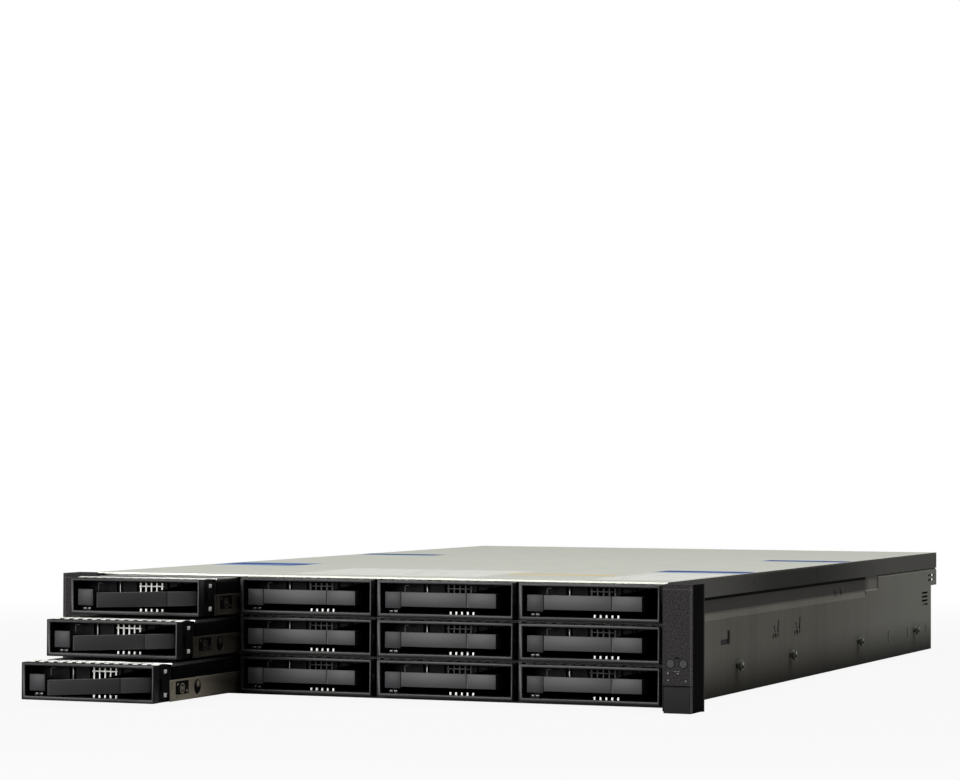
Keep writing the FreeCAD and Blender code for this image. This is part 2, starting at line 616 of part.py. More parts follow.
def ear(side):
    """The moulded cover of an ear and its steel angle, as two bodies."""
    suffix = "right" if side > 0 else "left"
    cover_body = new_body("ear_cover_" + suffix)
    skin, front, outer, low = dim("ear_skin"), -dim("ear_deep"), dim("ear_span") / 2, -dim("ear_drop")
    high, back = low + dim("ear_tall"), -skin
    if side > 0:
        slab(cover_body, "XZ", front, back - front, ear_outline(HALF, low, outer, high))
    else:
        lap = FRONT - dim("ear_lap_gap")
        wide = ear_outline(HALF - dim("ear_lap"), low, outer, high)
        slab(cover_body, "XZ", front, lap - front, mirrored(wide))
        slab(cover_body, "XZ", lap, back - lap, mirrored(ear_outline(HALF, low, outer, high)))
    hinge_back, hinge_up = flap_hinge()
    near, far = flap_edges()
    gap, thick, thin = dim("flap_gap"), dim("flap_thick"), dim("ear_side")
    recess_top = hinge_up + thick / 2 + gap
    room = box(HALF + thin, recess_top + dim("roof_of_recess"), outer - thin, high - thin)
    cut(cover_body, "XZ", front + skin, back - front - skin, sided(side, room))
    recess = box(near - gap, low, far + gap, recess_top)
    cut(cover_body, "XZ", front, thick + dim("recess_spare"), sided(side, recess))
    screw, clearance = (dim("screw_across") * side, dim("screw_rise")), dim("screw_clearance")
    cut(cover_body, "XZ", front, back - front, bore(*screw, dim("screw_head_radius") + clearance))
    hole = gap + dim("hinge_hole")
    pin_start = near - hole if side > 0 else -far - hole
    cut(cover_body, "YZ", pin_start, far - near + hole * 2,
        bore(hinge_back, hinge_up, dim("hinge_radius") + dim("pin_clearance")))
    if side > 0:
        radius = dim("front_button_radius") + dim("front_button_gap")
        drill(cover_body, "XZ", front, skin,
              (dim("power_button_across"), dim("front_button_rise"), radius),
              (dim("id_button_across"), dim("front_button_rise"), radius))
    angle_body = new_body("ear_angle_" + suffix)
    slab(angle_body, "XZ", back, skin, sided(side, box(HALF, low, outer, high)))
    leg = box(HALF, dim("bracket_low"), HALF + dim("bracket_thick"), dim("bracket_high"))
    slab(angle_body, "XZ", 0, dim("bracket_leg"), sided(side, leg))
    cut(angle_body, "XZ", back, skin, bore(*screw, dim("screw_radius") + clearance))
    return [cover_body, angle_body]


def front_button(label, across):
    """A round front button: a cap in the ear's skin with a wider collar behind it."""
    body = new_body(label)
    rise, proud, gap = dim("front_button_rise"), dim("front_button_proud"), dim("collar_gap")
    front, skin, radius = -dim("ear_deep"), dim("ear_skin"), dim("front_button_radius")
    rod(body, "XZ", front - proud, proud + skin + gap, across, rise, radius)
    reach = radius + dim("front_button_collar")
    slab(body, "XZ", front + skin + gap, dim("collar_thick"),
         box(across - reach, rise - reach, across + reach, rise + reach))
    return body


def flap(label, side):
    """A flap over a rack screw: a plate with a rounded hinge edge and a stub pin at each end."""
    body = new_body(label)
    near, far = flap_edges()
    left, width, stub = (near if side > 0 else -far), dim("flap_wide"), dim("hinge_stub")
    hinge_back, hinge_up = flap_hinge()
    front, thick = -dim("ear_deep"), dim("flap_thick")
    slab(body, "YZ", left, width, box(front, -dim("ear_drop"), front + thick, hinge_up))
    slab(body, "YZ", left, width, even(hinge_back, hinge_up, thick / 2))
    slab(body, "YZ", left - stub, width + stub * 2, even(hinge_back, hinge_up, dim("hinge_radius")))
    return body


# ---------------------------------------------------------------- fasteners

def rack_screw():
    """A captive rack screw along Y: slotted head, neck through the ear's angle, and threaded end."""
    body = new_body("rack_screw")
    seat, head, radius = -dim("ear_skin"), dim("screw_head_long"), dim("screw_head_radius")
    slab(body, "XZ", seat - head, head, even(0, 0, radius))
    slab(body, "XZ", seat, -seat, even(0, 0, dim("screw_neck_radius")))
    rod(body, "XZ", 0, dim("screw_free"), 0, 0, dim("screw_radius"))
    half = dim("screw_slot_wide") / 2
    cut(body, "XZ", seat - head, dim("screw_slot_deep"), box(-radius, -half, radius, half))
    return body


def rail_stud():
    """A headed stud for a slide rail, with its axis along X and its seat at the origin."""
    body = new_body("rail_stud")
    neck = dim("stud_neck")
    slab(body, "YZ", 0, neck, even(0, 0, dim("stud_radius")))
    rod(body, "YZ", neck, dim("stud_head"), 0, 0, dim("stud_head_radius"))
    return body


# ---------------------------------------------------------------- rear and inside

def psu_sides():
    """The inner and outer X of the right power supply."""
    outer = HALF - WALL - dim("psu_gap")
    return outer - dim("psu_wide"), outer


def power_supply():
    """A hot-swap supply from its lower left rear corner: case, inlet, fan grille and handle."""
    body = new_body("power_supply")
    wide, tall, length = dim("psu_wide"), dim("psu_tall"), dim("psu_long")
    slab(body, "XZ", -length, length, box(0, 0, wide, tall))
    tab, inset, low = dim("edge_tab_long"), dim("edge_tab_inset"), dim("edge_tab_low")
    slab(body, "XZ", -length - tab, tab, box(inset, low, wide - inset, low + dim("edge_tab_thick")))
    left, foot, corner, deep = dim("inlet_left"), dim("inlet_low"), dim("inlet_corner"), dim("inlet_deep")
    right, high = left + dim("inlet_wide"), foot + dim("inlet_tall")
    inlet = [(left, foot), (right, foot), (right, high - corner), (right - corner, high),
             (left + corner, high), (left, high - corner)]
    cut(body, "XZ", -deep, deep, inlet)
    thin, middle = dim("blade_wide"), left + dim("inlet_wide") / 2
    blades = []
    for across, up in BLADE_PINS:
        blades.append(box(middle + across, foot + up, middle + across + thin, foot + up + dim("blade_tall")))
    slab(body, "XZ", -deep, dim("blade_long"), *blades)
    start, edge, cut_in = dim("supply_vent_left"), dim("supply_vent_edge"), dim("supply_vent_deep")
    vent = cut(body, "XZ", -cut_in, cut_in, box(start, edge, start + dim("supply_vent_wide"), tall - edge))
    row_of(body, vent, "X_Axis", dim("supply_vent_pitch"), SUPPLY_VENTS)
    reach, bar, side = dim("handle_reach"), dim("handle_bar"), dim("handle_left")
    end, foot = side + dim("handle_wide"), dim("handle_low")
    top = foot + dim("handle_tall")
    slab(body, "XZ", 0, reach, box(side, foot, side + bar, top), box(end - bar, foot, end, top))
    slab(body, "XZ", reach - bar, bar, box(side + bar, foot, end - bar, top))
    return body


def psu_latch():
    """The spring catch of a supply, from the same corner as its supply."""
    body = new_body("latch")
    left, low, gap, key = dim("latch_left"), dim("latch_low"), dim("latch_gap"), dim("latch_key")
    middle, high, long = left + dim("latch_thick"), low + dim("latch_tall"), dim("latch_long")
    slab(body, "XZ", gap, long, box(left, low, middle, high))
    slab(body, "XZ", gap + long - key, key, box(middle, low, middle + dim("latch_thick"), high))
    return body


def slot_cover():
    """One expansion slot cover, centred on X, with a row of vents."""
    body = new_body("slot_cover")
    half, tall, sheet_thick = dim("slot_wide") / 2, dim("slot_tall"), dim("slot_sheet")
    slab(body, "XZ", 0, sheet_thick, box(-half, 0, half, tall))
    left, wide, reach = dim("slot_vent_edge") - half, dim("slot_vent_wide"), dim("slot_vent_tall") / 2
    hole = cut(body, "XZ", 0, sheet_thick, box(left, tall / 2 - reach, left + wide, tall / 2 + reach))
    row_of(body, hole, "X_Axis", (-left * 2 - wide) / (SLOT_VENTS - 1), SLOT_VENTS)
    return body


def backplane():
    """The board behind the bays with air slots and a connector for each drive."""
    body = new_body("bay_board")
    front, thick, gap = dim("cage_rear"), dim("board_thick"), dim("backplane_gap")
    left = bay_centre(0) - dim("bay_wide") / 2
    slab(body, "XZ", front, thick,
         box(left, WALL + gap, CAGE_RIGHT - dim("backplane_edge"), ROOF - dim("backplane_top")))
    slots, sockets = [], []
    reach, edge = dim("socket_wide") / 2, dim("air_slot_edge")
    for level in range(3):
        slot_low, low = bay_floor(level) + dim("air_slot_rise"), bay_floor(level) + dim("socket_rise")
        slots.append(box(left + edge, slot_low, CAGE_RIGHT - edge, slot_low + dim("air_slot_tall")))
        for column in range(4):
            centre = bay_centre(column)
            sockets.append(box(centre - reach, low, centre + reach, low + dim("socket_tall")))
    cut(body, "XZ", front, thick, *slots)
    start = dim("drive_start") + dim("drive_long") - dim("ring_front") + gap
    slab(body, "XZ", start, front - start, *sockets)
    return body


def fan_housing():
    """A square axial fan frame with its spider, from the middle of its front face."""
    body = new_body("fan_housing")
    half, deep, thick = dim("fan_size") / 2, dim("fan_deep"), dim("spider_thick")
    slab(body, "XZ", 0, deep, box(-half, -half, half, half))
    cut(body, "XZ", 0, deep, even(0, 0, FAN_BORE, ROUND_SIDES * 2))
    reach, arm = half - dim("spider_edge"), dim("spider_wide") / 2
    plate = dim("hub_radius") - dim("spider_inset")
    for across, up in ((reach, arm), (arm, reach), (plate, plate)):
        slab(body, "XZ", deep - thick, thick, box(-across, -up, across, up))
    cut(body, "XZ", deep - thick, thick, bore(0, 0, dim("shaft_radius") + dim("pin_clearance")))
    return body


def fan_rotor():
    """Hub, seven pitched blades and shaft, turning about Y through the origin."""
    body = new_body("fan_rotor")
    radius, deep, start = dim("hub_radius"), dim("fan_deep"), dim("hub_start")
    end = deep - dim("spider_thick") - dim("hub_gap")
    slab(body, "XZ", start, end - start, even(0, 0, radius))
    slab(body, "XZ", end, deep - end, even(0, 0, dim("shaft_radius")))
    root = radius - dim("blade_root")
    blade = slab(body, "XY", root, FAN_BORE - dim("blade_gap") - root, BLADE_SECTION)
    wheel = body.newObject("PartDesign::PolarPattern", "fan_rotor_blades")
    wheel.Originals = [blade]
    wheel.Axis = (origin_feature(body, "Y_Axis"), [""])
    wheel.Angle = 360
    wheel.Occurrences = BLADES
    body.Tip = wheel
    return body


def motherboard():
    """The main board with its memory and the rear ports."""
    board = new_body("main_board")
    half, tail = dim("board_wide") / 2, dim("board_tail_wide") / 2
    front, step, rear = dim("board_front"), dim("board_step"), REAR - dim("board_back_gap")
    right = [(half, front), (half, step), (tail, step), (tail, rear)]
    slab(board, "XY", dim("board_rise"), dim("board_thick"), right + mirrored(right)[::-1])
    memory = new_body("memory")
    start, latch = dim("memory_front"), dim("memory_latch")
    end, wide = start + dim("memory_long") + latch * 2, dim("memory_pitch") * MEMORY_IN_GROUP
    stick, socket_tall = dim("memory_stick"), dim("memory_socket_tall")
    for left in MEMORY_STARTS:
        slab(memory, "XY", BOARD_TOP, socket_tall, box(left, start, left + wide, end))
        edge = left + (dim("memory_pitch") - stick) / 2
        card = slab(memory, "XY", BOARD_TOP + socket_tall, dim("memory_tall") - latch,
                    box(edge, start + latch, edge + stick, end - latch))
        row_of(memory, card, "X_Axis", dim("memory_pitch"), MEMORY_IN_GROUP)
    ports = new_body("rear_ports")
    back, long, deep, rim = REAR - dim("port_set_back"), dim("port_long"), dim("port_deep"), dim("port_rim")
    for left, width, high in REAR_PORTS:
        slab(ports, "XZ", back - long, long, box(left, BOARD_TOP, left + width, BOARD_TOP + high))
        cut(ports, "XZ", back - deep, deep,
            box(left + rim, BOARD_TOP + rim, left + width - rim, BOARD_TOP + high - rim))
    return [board, memory, ports]


def heatsink():
    """A processor heat sink: base plate and upright fins along Y, centred on X."""
    body = new_body("heatsink")
    half, length, base, thin = dim("sink_wide") / 2, dim("sink_long"), dim("sink_base"), dim("fin_thick")
    slab(body, "XY", 0, base, box(-half, 0, half, length))
    fin = slab(body, "XZ", 0, length, box(-half, base, thin - half, dim("sink_tall")))
    row_of(body, fin, "X_Axis", (dim("sink_wide") - thin) / (FINS - 1), FINS)
    return body


# ---------------------------------------------------------------- assembly

def pull_out(column, level):
    """How far a carrier stands out of its bay: only the left column does."""
    if column:
        return as_size(0)
    return (dim("out_bottom"), dim("out_middle"), dim("out_top"))[level]


def carriers():
    """Twelve carriers with their levers and buttons, numbered by row from the top left."""
    carrier_parts = [bezel(), grille(), shield(), side_rails(), drive(), hinge_pin()]
    lever_parts = [lever()]
    button_parts = [release_button()]
    made = []
    for number in range(12):
        column, level = number % 4, 2 - number // 4
        left = bay_centre(column) - RING_WIDE / 2
        front = -dim("ring_front") - pull_out(column, level)
        low = bay_floor(level) + dim("ring_lift")
        swing = as_size(0) if column else dim("lever_open")
        made.append(placed("carrier_%d" % (number + 1), carrier_parts, left, front, low))
        made.append(placed("lever_%d" % (number + 1), lever_parts, left + dim("pivot_across"),
                           front + dim("pivot_back"), low, swing))
        made.append(placed("release_button_%d" % (number + 1), button_parts, left, front, low))
    return made


def studs():
    """The eight rail studs, four on each side wall."""
    stud, rise = rail_stud(), dim("stud_rise")
    made = []
    for back in STUD_PLACES:
        made.append(placed("stud_right_%d" % back, [stud], HALF, back, rise))
        made.append(placed("stud_left_%d" % back, [stud], -HALF, back, rise, 180))
    return made


def assemble():
    """Every sub-part of the server, in a list; each one's Label is the name of its file."""
    seam = dim("cover_seam")
    lid_start = seam + dim("cover_gap")
    parts = [placed("chassis", [chassis()]), placed("drive_cage", [drive_cage()])]
    parts.append(placed("front_cover", [cover("cover_front", FRONT, seam - FRONT, FRONT_DIMPLES)]))
    parts.append(placed("lid", [cover("cover_rear", lid_start, HOOD_REAR - lid_start, LID_DIMPLES)]))
    parts += carriers()
    parts.append(placed("right_ear", ear(1)))
    parts.append(placed("left_ear", ear(-1)))
    parts.append(placed("power_button", [front_button("power_key", dim("power_button_across"))]))
    parts.append(placed("id_button", [front_button("id_key", dim("id_button_across"))]))
    parts.append(placed("right_flap", [flap("flap_right", 1)]))
    parts.append(placed("left_flap", [flap("flap_left", -1)]))
    screw = rack_screw()
    pair = [placed("screw_" + name, [screw], dim("screw_across") * side, 0, dim("screw_rise"))
            for name, side in (("right", 1), ("left", -1))]
    parts.append(placed("rack_screws", pair))
    parts.append(placed("rail_studs", studs()))
    parts.append(placed("backplane", [backplane()]))
    housing, rotor = fan_housing(), fan_rotor()
    fan_front, fan_up = dim("fan_front"), WALL + dim("fan_size") / 2
    frames = []
    for number in range(3):
        across = dim("fan_pitch") * (number - 1)
        frames.append(placed("fan_frame_%d" % (number + 1), [housing], across, fan_front, fan_up))
        parts.append(placed("fan_rotor_%d" % (number + 1), [rotor], across, fan_front, fan_up))
    parts.append(placed("fan_housings", frames))
    parts.append(placed("motherboard", motherboard() + [standoffs()]))
    sink = heatsink()
    sinks = [placed("sink_" + name, [sink], dim("sink_across") * side, dim("sink_front"), BOARD_TOP)
             for name, side in (("right", 1), ("left", -1))]
    parts.append(placed("heatsinks", sinks))
    supply, catch = power_supply(), psu_latch()
    inner, outer = psu_sides()
    for number, left in ((1, -outer), (2, inner)):
        parts.append(placed("psu_%d" % number, [supply], left, REAR, PSU_FLOOR))
        parts.append(placed("psu_latch_%d" % number, [catch], left, REAR, PSU_FLOOR))
    blank = slot_cover()
    blanks = [rear_panel()]
    for column in (-1, 0, 1):
        for level in range(2):
            up = dim("slot_low") + dim("slot_pitch") * level
            blanks.append(placed("blank_%d_%d" % (column + 2, level + 1), [blank],
                                 dim("slot_column") * column, REAR, up))
    parts.append(placed("rear_panel", blanks))
    return parts


def check_document(parts):
    """Stops the build if any object failed or any sub-part has no valid shape."""
    for item in doc.Objects:
        if "Invalid" in item.State or "Error" in item.State:
            raise RuntimeError("%s did not recompute: %s" % (item.Label, item.State))
    for item in parts:
        if item.Shape.isNull() or not item.Shape.isValid():
            raise RuntimeError("%s has no valid shape" % item.Label)


sub_parts = assemble()
doc.recompute()
check_document(sub_parts)
os.makedirs("parts", exist_ok=True)
for sub_part in sub_parts:
    sub_part.Shape.exportStep("parts/%s.step" % sub_part.Label)
    print("%-18s %2d solids %10.1f mm3" % (sub_part.Label, len(sub_part.Shape.Solids), sub_part.Shape.Volume))
print("%d sub-parts written" % len(sub_parts))
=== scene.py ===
"""Looks of a two-unit rack server with twelve drive bays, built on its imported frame.

Sizes are in millimetres unless a name says otherwise, and every mesh is brought to metres
when it becomes a piece. The frame is the part's own: X to the right seen from the front,
Y to the rear, Z up.
"""

import functools
import json
import logging
import math
from collections.abc import Callable, Mapping, Sequence
from dataclasses import dataclass
from enum import Enum

import bmesh
import bpy
from mathutils import Matrix, Vector

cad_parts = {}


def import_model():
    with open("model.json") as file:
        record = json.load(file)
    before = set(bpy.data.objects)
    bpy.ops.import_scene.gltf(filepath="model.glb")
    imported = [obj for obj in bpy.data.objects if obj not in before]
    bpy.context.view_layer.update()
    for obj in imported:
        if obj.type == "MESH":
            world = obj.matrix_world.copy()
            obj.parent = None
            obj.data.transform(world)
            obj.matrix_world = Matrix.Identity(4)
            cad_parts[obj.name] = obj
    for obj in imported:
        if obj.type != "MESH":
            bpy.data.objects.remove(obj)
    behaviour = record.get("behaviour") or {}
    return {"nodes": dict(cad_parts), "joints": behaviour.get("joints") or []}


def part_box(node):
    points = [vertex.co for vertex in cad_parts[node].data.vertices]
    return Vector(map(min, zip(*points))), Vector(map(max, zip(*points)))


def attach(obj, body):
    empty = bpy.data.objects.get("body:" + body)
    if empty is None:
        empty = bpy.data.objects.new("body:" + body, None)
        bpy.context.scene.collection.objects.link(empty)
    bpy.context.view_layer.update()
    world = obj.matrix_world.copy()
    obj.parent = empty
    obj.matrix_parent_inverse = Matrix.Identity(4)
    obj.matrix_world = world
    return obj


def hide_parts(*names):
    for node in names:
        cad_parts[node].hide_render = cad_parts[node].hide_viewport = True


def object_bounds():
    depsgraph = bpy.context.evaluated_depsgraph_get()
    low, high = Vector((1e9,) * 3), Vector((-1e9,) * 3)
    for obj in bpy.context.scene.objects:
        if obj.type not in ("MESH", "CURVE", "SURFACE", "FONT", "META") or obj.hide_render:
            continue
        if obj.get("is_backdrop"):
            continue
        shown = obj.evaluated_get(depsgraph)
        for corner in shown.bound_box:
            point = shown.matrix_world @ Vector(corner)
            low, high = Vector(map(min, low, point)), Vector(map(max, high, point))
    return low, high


LOG = logging.getLogger("rack_server")
MM = 0.001
Flat = tuple[float, float]
Spot = tuple[float, float, float]
Patch = tuple[float, float, float, float]
Colour = tuple[float, float, float, float]
Socket = bpy.types.NodeSocket
TOE_END, TOE_SLOPE = 10.3, 3294.6
GRAIN_SHARE, CLOUD_SHARE = 0.6, 1.4
ROUGH_SPREAD = 0.12
SHARP = math.radians(24)


def show(name: str, data: bpy.types.ID) -> bpy.types.Object:
    """Puts data in the scene as an object."""
    thing = bpy.data.objects.new(name, data)
    bpy.context.scene.collection.objects.link(thing)
    return thing


# ---- node trees


class Tree:
    """A node tree with one way to add any node."""

    def __init__(self, tree: bpy.types.NodeTree) -> None:
        """Starts from an empty tree."""
        self.tree = tree
        tree.nodes.clear()

    def node(self, kind: str, sockets: Mapping[str | int, object] | None = None,
             **settings: str) -> bpy.types.Node:
        """Adds one node and gives it back.

        Args:
            kind: The node's type.
            sockets: A value or a link for each input, by name or number.
            settings: Its own properties, set before its sockets.
        """
        made = self.tree.nodes.new(kind)
        for name, value in settings.items():
            setattr(made, name, value)
        for key, value in (sockets or {}).items():
            self.feed(made.inputs[key], value)
        return made

    def feed(self, socket: Socket, value: object) -> None:
        """Gives a socket a link where the value is one, and else a plain value."""
        if isinstance(value, Value):
            value = value.socket
        if isinstance(value, Socket):
            self.tree.links.new(value, socket)
        else:
            socket.default_value = value


class Value:
    """A number in a node tree. Arithmetic on it adds Math nodes."""

    def __init__(self, tree: Tree, socket: Socket) -> None:
        """Wraps an output socket."""
        self.tree = tree
        self.socket = socket

    def math(self, operation: str, *terms: "Value | float") -> "Value":
        """Adds a Math node for an operation on the given terms."""
        made = self.tree.node("ShaderNodeMath", dict(enumerate(terms)), operation=operation)
        return Value(self.tree, made.outputs[0])

    def __add__(self, other: "Value | float") -> "Value":
        """Adds."""
        return self.math("ADD", self, other)

    def __sub__(self, other: "Value | float") -> "Value":
        """Subtracts."""
        return self.math("SUBTRACT", self, other)

    def __rsub__(self, other: float) -> "Value":
        """Subtracts this from a number."""
        return self.math("SUBTRACT", other, self)

    def __mul__(self, other: "Value | float") -> "Value":
        """Multiplies."""
        return self.math("MULTIPLY", self, other)

    __radd__ = __add__
    __rmul__ = __mul__

    def size(self) -> "Value":
        """Drops the sign."""
        return self.math("ABSOLUTE", self)

    def repeat(self, pitch: float) -> "Value":
        """Counts from 0 to the pitch over and over."""
        return self.math("WRAP", self, pitch, 0.0)

    def rise(self, low: float, high: float) -> "Value":
        """Goes smoothly from 0 at low to 1 at high."""
        made = self.tree.node("ShaderNodeMapRange", {"Value": self, "From Min": low, "From Max": high},
                              interpolation_type="SMOOTHSTEP")
        return Value(self.tree, made.outputs[0])

    def between(self, low: float, high: float, soft: float = 0.4) -> "Value":
        """Is 1 between low and high and 0 outside, with soft ends."""
        return self.rise(low - soft, low + soft) * (1 - self.rise(high - soft, high + soft))


class Surface(Tree):
    """A material in the making: its tree, its shader and the place in millimetres."""

    def __init__(self, name: str) -> None:
        """Adds the shader and the coordinates."""
        self.material = bpy.data.materials.new(name)
        self.material.use_nodes = True
        super().__init__(self.material.node_tree)
        self.shader = self.node("ShaderNodeBsdfPrincipled")
        self.node("ShaderNodeOutputMaterial", {"Surface": self.shader.outputs[0]})
        self.place = self.node("ShaderNodeTexCoord").outputs["Object"]
        split = self.node("ShaderNodeSeparateXYZ", {0: self.place})
        self.x, self.y, self.z = (Value(self, socket) * (1 / MM) for socket in split.outputs)

    def stretched(self, stretch: Spot) -> Socket:
        """The place with each axis scaled, for patterns that run one way."""
        return self.node("ShaderNodeMapping", {"Vector": self.place, "Scale": stretch}).outputs[0]

    def noise(self, size: float, detail: float = 3.0, stretch: Spot = (1, 1, 1)) -> Value:
        """Cloudy variation around 0.5 with blots of the given size."""
        made = self.node("ShaderNodeTexNoise",
                         {"Vector": self.stretched(stretch), "Scale": 1 / (size * MM), "Detail": detail})
        return Value(self, made.outputs["Fac"])

    def cells(self, size: float, stretch: Spot = (1, 1, 1)) -> Value:
        """One random number for each crystal of the given size."""
        made = self.node("ShaderNodeTexVoronoi",
                         {"Vector": self.stretched(stretch), "Scale": 1 / (size * MM)})
        part = self.node("ShaderNodeSeparateXYZ", {0: made.outputs["Color"]})
        return Value(self, part.outputs[0])

    def blend(self, share: Value | float, first: object, second: object) -> Socket:
        """Mixes two colours."""
        made = self.node("ShaderNodeMix", {0: share, 6: first, 7: second}, data_type="RGBA")
        return made.outputs[2]

    def emboss(self, height: Value, depth: float) -> None:
        """Raises the surface by the height times a depth in millimetres."""
        made = self.node("ShaderNodeBump", {"Strength": 1.0, "Distance": depth * MM, "Height": height})
        self.feed(self.shader.inputs["Normal"], made.outputs[0])


class Pattern(Tree):
    """A geometry tree with named sizes in millimetres that makes one repeated shape."""

    def __init__(self, name: str, **sizes: float) -> None:
        """Adds an input for each size; whole numbers are counts."""
        group = bpy.data.node_groups.new(name, "GeometryNodeTree")
        super().__init__(group)
        group.interface.new_socket("Geometry", in_out="OUTPUT", socket_type="NodeSocketGeometry")
        for label, size in sizes.items():
            kind = "NodeSocketInt" if isinstance(size, int) else "NodeSocketFloat"
            group.interface.new_socket(label, in_out="INPUT", socket_type=kind)
        self.sizes = sizes
        self.source = self.node("NodeGroupInput")

    def size(self, label: str) -> Value:
        """One of the named sizes."""
        return Value(self, self.source.outputs[label])

    def spot(self, across: object, back: object, up: object) -> Socket:
        """A vector from three numbers or values."""
        return self.node("ShaderNodeCombineXYZ", {0: across, 1: back, 2: up}).outputs[0]

    def in_row(self, shape: Socket, across: Value, back: Value, up: Value) -> Socket:
        """Repeats the shape along X from its first place, by the sizes Count and Pitch."""
        line = self.node("GeometryNodeMeshLine",
                         {"Count": self.size("Count"), "Start Location": self.spot(across, back, up),
                          "Offset": self.spot(self.size("Pitch"), 0.0, 0.0)}, mode="OFFSET")
        return self.node("GeometryNodeInstanceOnPoints",
                         {"Points": line.outputs[0], "Instance": shape}).outputs[0]

    def end(self, shape: Socket, finish: "Finish") -> "Pattern":
        """Makes the repeated shape real and gives it its finish."""
        real = self.node("GeometryNodeRealizeInstances", {0: shape})
        painted = self.node("GeometryNodeSetMaterial",
                            {"Geometry": real.outputs[0], "Material": finish.material()})
        self.node("NodeGroupOutput", {0: painted.outputs[0]})
        return self

    def mesh(self, **sizes: float) -> bpy.types.Mesh:
        """Works the tree out as a plain mesh in millimetres, with the given sizes changed."""
        bench = show("bench", bpy.data.meshes.new("bench"))
        modifier = bench.modifiers.new("pattern", "NODES")
        modifier.node_group = self.tree
        chosen = {**self.sizes, **sizes}
        for item in self.tree.interface.items_tree:
            if item.in_out == "INPUT":
                modifier[item.identifier] = chosen[item.name]
        shown = bench.evaluated_get(bpy.context.evaluated_depsgraph_get())
        made = bpy.data.meshes.new_from_object(shown)
        bpy.data.objects.remove(bench)
        return made


def bar_row(finish: "Finish") -> Pattern:
    """Equal bars side by side along X, such as grille bars, bent feet and slits."""
    tree = Pattern("bar_row", Count=4, Pitch=4.0, Wide=1.0, Deep=1.0, Tall=10.0, Left=0.0, Front=0.0, Low=0.0)
    wide, deep, tall = tree.size("Wide"), tree.size("Deep"), tree.size("Tall")
    bar = tree.node("GeometryNodeMeshCube", {"Size": tree.spot(wide, deep, tall)})
    row = tree.in_row(bar.outputs[0], tree.size("Left") + wide * 0.5, tree.size("Front") + deep * 0.5,
                      tree.size("Low") + tall * 0.5)
    return tree.end(row, finish)


def finger_strip(finish: "Finish") -> Pattern:
    """Arched contact fingers side by side along X, each one bent from sheet."""
    tree = Pattern("finger_strip", Count=14, Pitch=7.25, Wide=6.0, Long=18.0, Rise=0.8, Sheet=0.3,
                   Left=0.0, Front=0.0, Low=0.0)
    wide, long, rise = tree.size("Wide"), tree.size("Long"), tree.size("Rise")
    crown = tree.spot(0.0, long * 0.42, rise * 2.0)
    bend = tree.node("GeometryNodeCurveQuadraticBezier",
                     {"Resolution": 8, "Start": (0.0, 0.0, 0.0), "Middle": crown,
                      "End": tree.spot(0.0, long, 0.0)})
    upright = tree.node("GeometryNodeSetCurveNormal", {0: bend.outputs[0]}, mode="Z_UP")
    section = tree.node("GeometryNodeCurvePrimitiveQuadrilateral",
                        {"Width": wide, "Height": tree.size("Sheet")}, mode="RECTANGLE")
    finger = tree.node("GeometryNodeCurveToMesh",
                       {"Curve": upright.outputs[0], "Profile Curve": section.outputs[0], "Fill Caps": True})
    row = tree.in_row(finger.outputs[0], tree.size("Left") + wide * 0.5, tree.size("Front"),
                      tree.size("Low"))
    return tree.end(row, finish)


def wire_coil(finish: "Finish") -> Pattern:
    """A coil spring that stands along Z."""
    tree = Pattern("wire_coil", Turns=4.0, Radius=1.5, Height=4.0, Wire=0.25, Across=0.0, Back=0.0, Low=0.0)
    radius = tree.size("Radius")
    coil = tree.node("GeometryNodeCurveSpiral",
                     {"Resolution": 16, "Rotations": tree.size("Turns"), "Start Radius": radius,
                      "End Radius": radius, "Height": tree.size("Height")})
    section = tree.node("GeometryNodeCurvePrimitiveCircle", {"Resolution": 6, "Radius": tree.size("Wire")},
                        mode="RADIUS")
    wire = tree.node("GeometryNodeCurveToMesh",
                     {"Curve": coil.outputs[0], "Profile Curve": section.outputs[0], "Fill Caps": True})
    moved = tree.node("GeometryNodeTransform",
                      {"Geometry": wire.outputs[0],
                       "Translation": tree.spot(tree.size("Across"), tree.size("Back"), tree.size("Low"))})
    return tree.end(moved.outputs[0], finish)


# ---- finishes


def shade(red: float, green: float, blue: float) -> Colour:
    """A display colour from 0 to 255 as the linear colour that a shader takes."""
    light = [part / TOE_SLOPE if part < TOE_END else ((part / 255 + 0.055) / 1.055) ** 2.4
             for part in (red, green, blue)]
    return (*light, 1.0)


class Grain(Enum):
    """What the fine relief of a surface is like."""

    SPARK = "spark-eroded mould texture"
    SATIN = "satin coating"
    ROLLED = "rolled or brushed along one axis"
    SPANGLE = "zinc crystals"
    CAST = "rough casting"


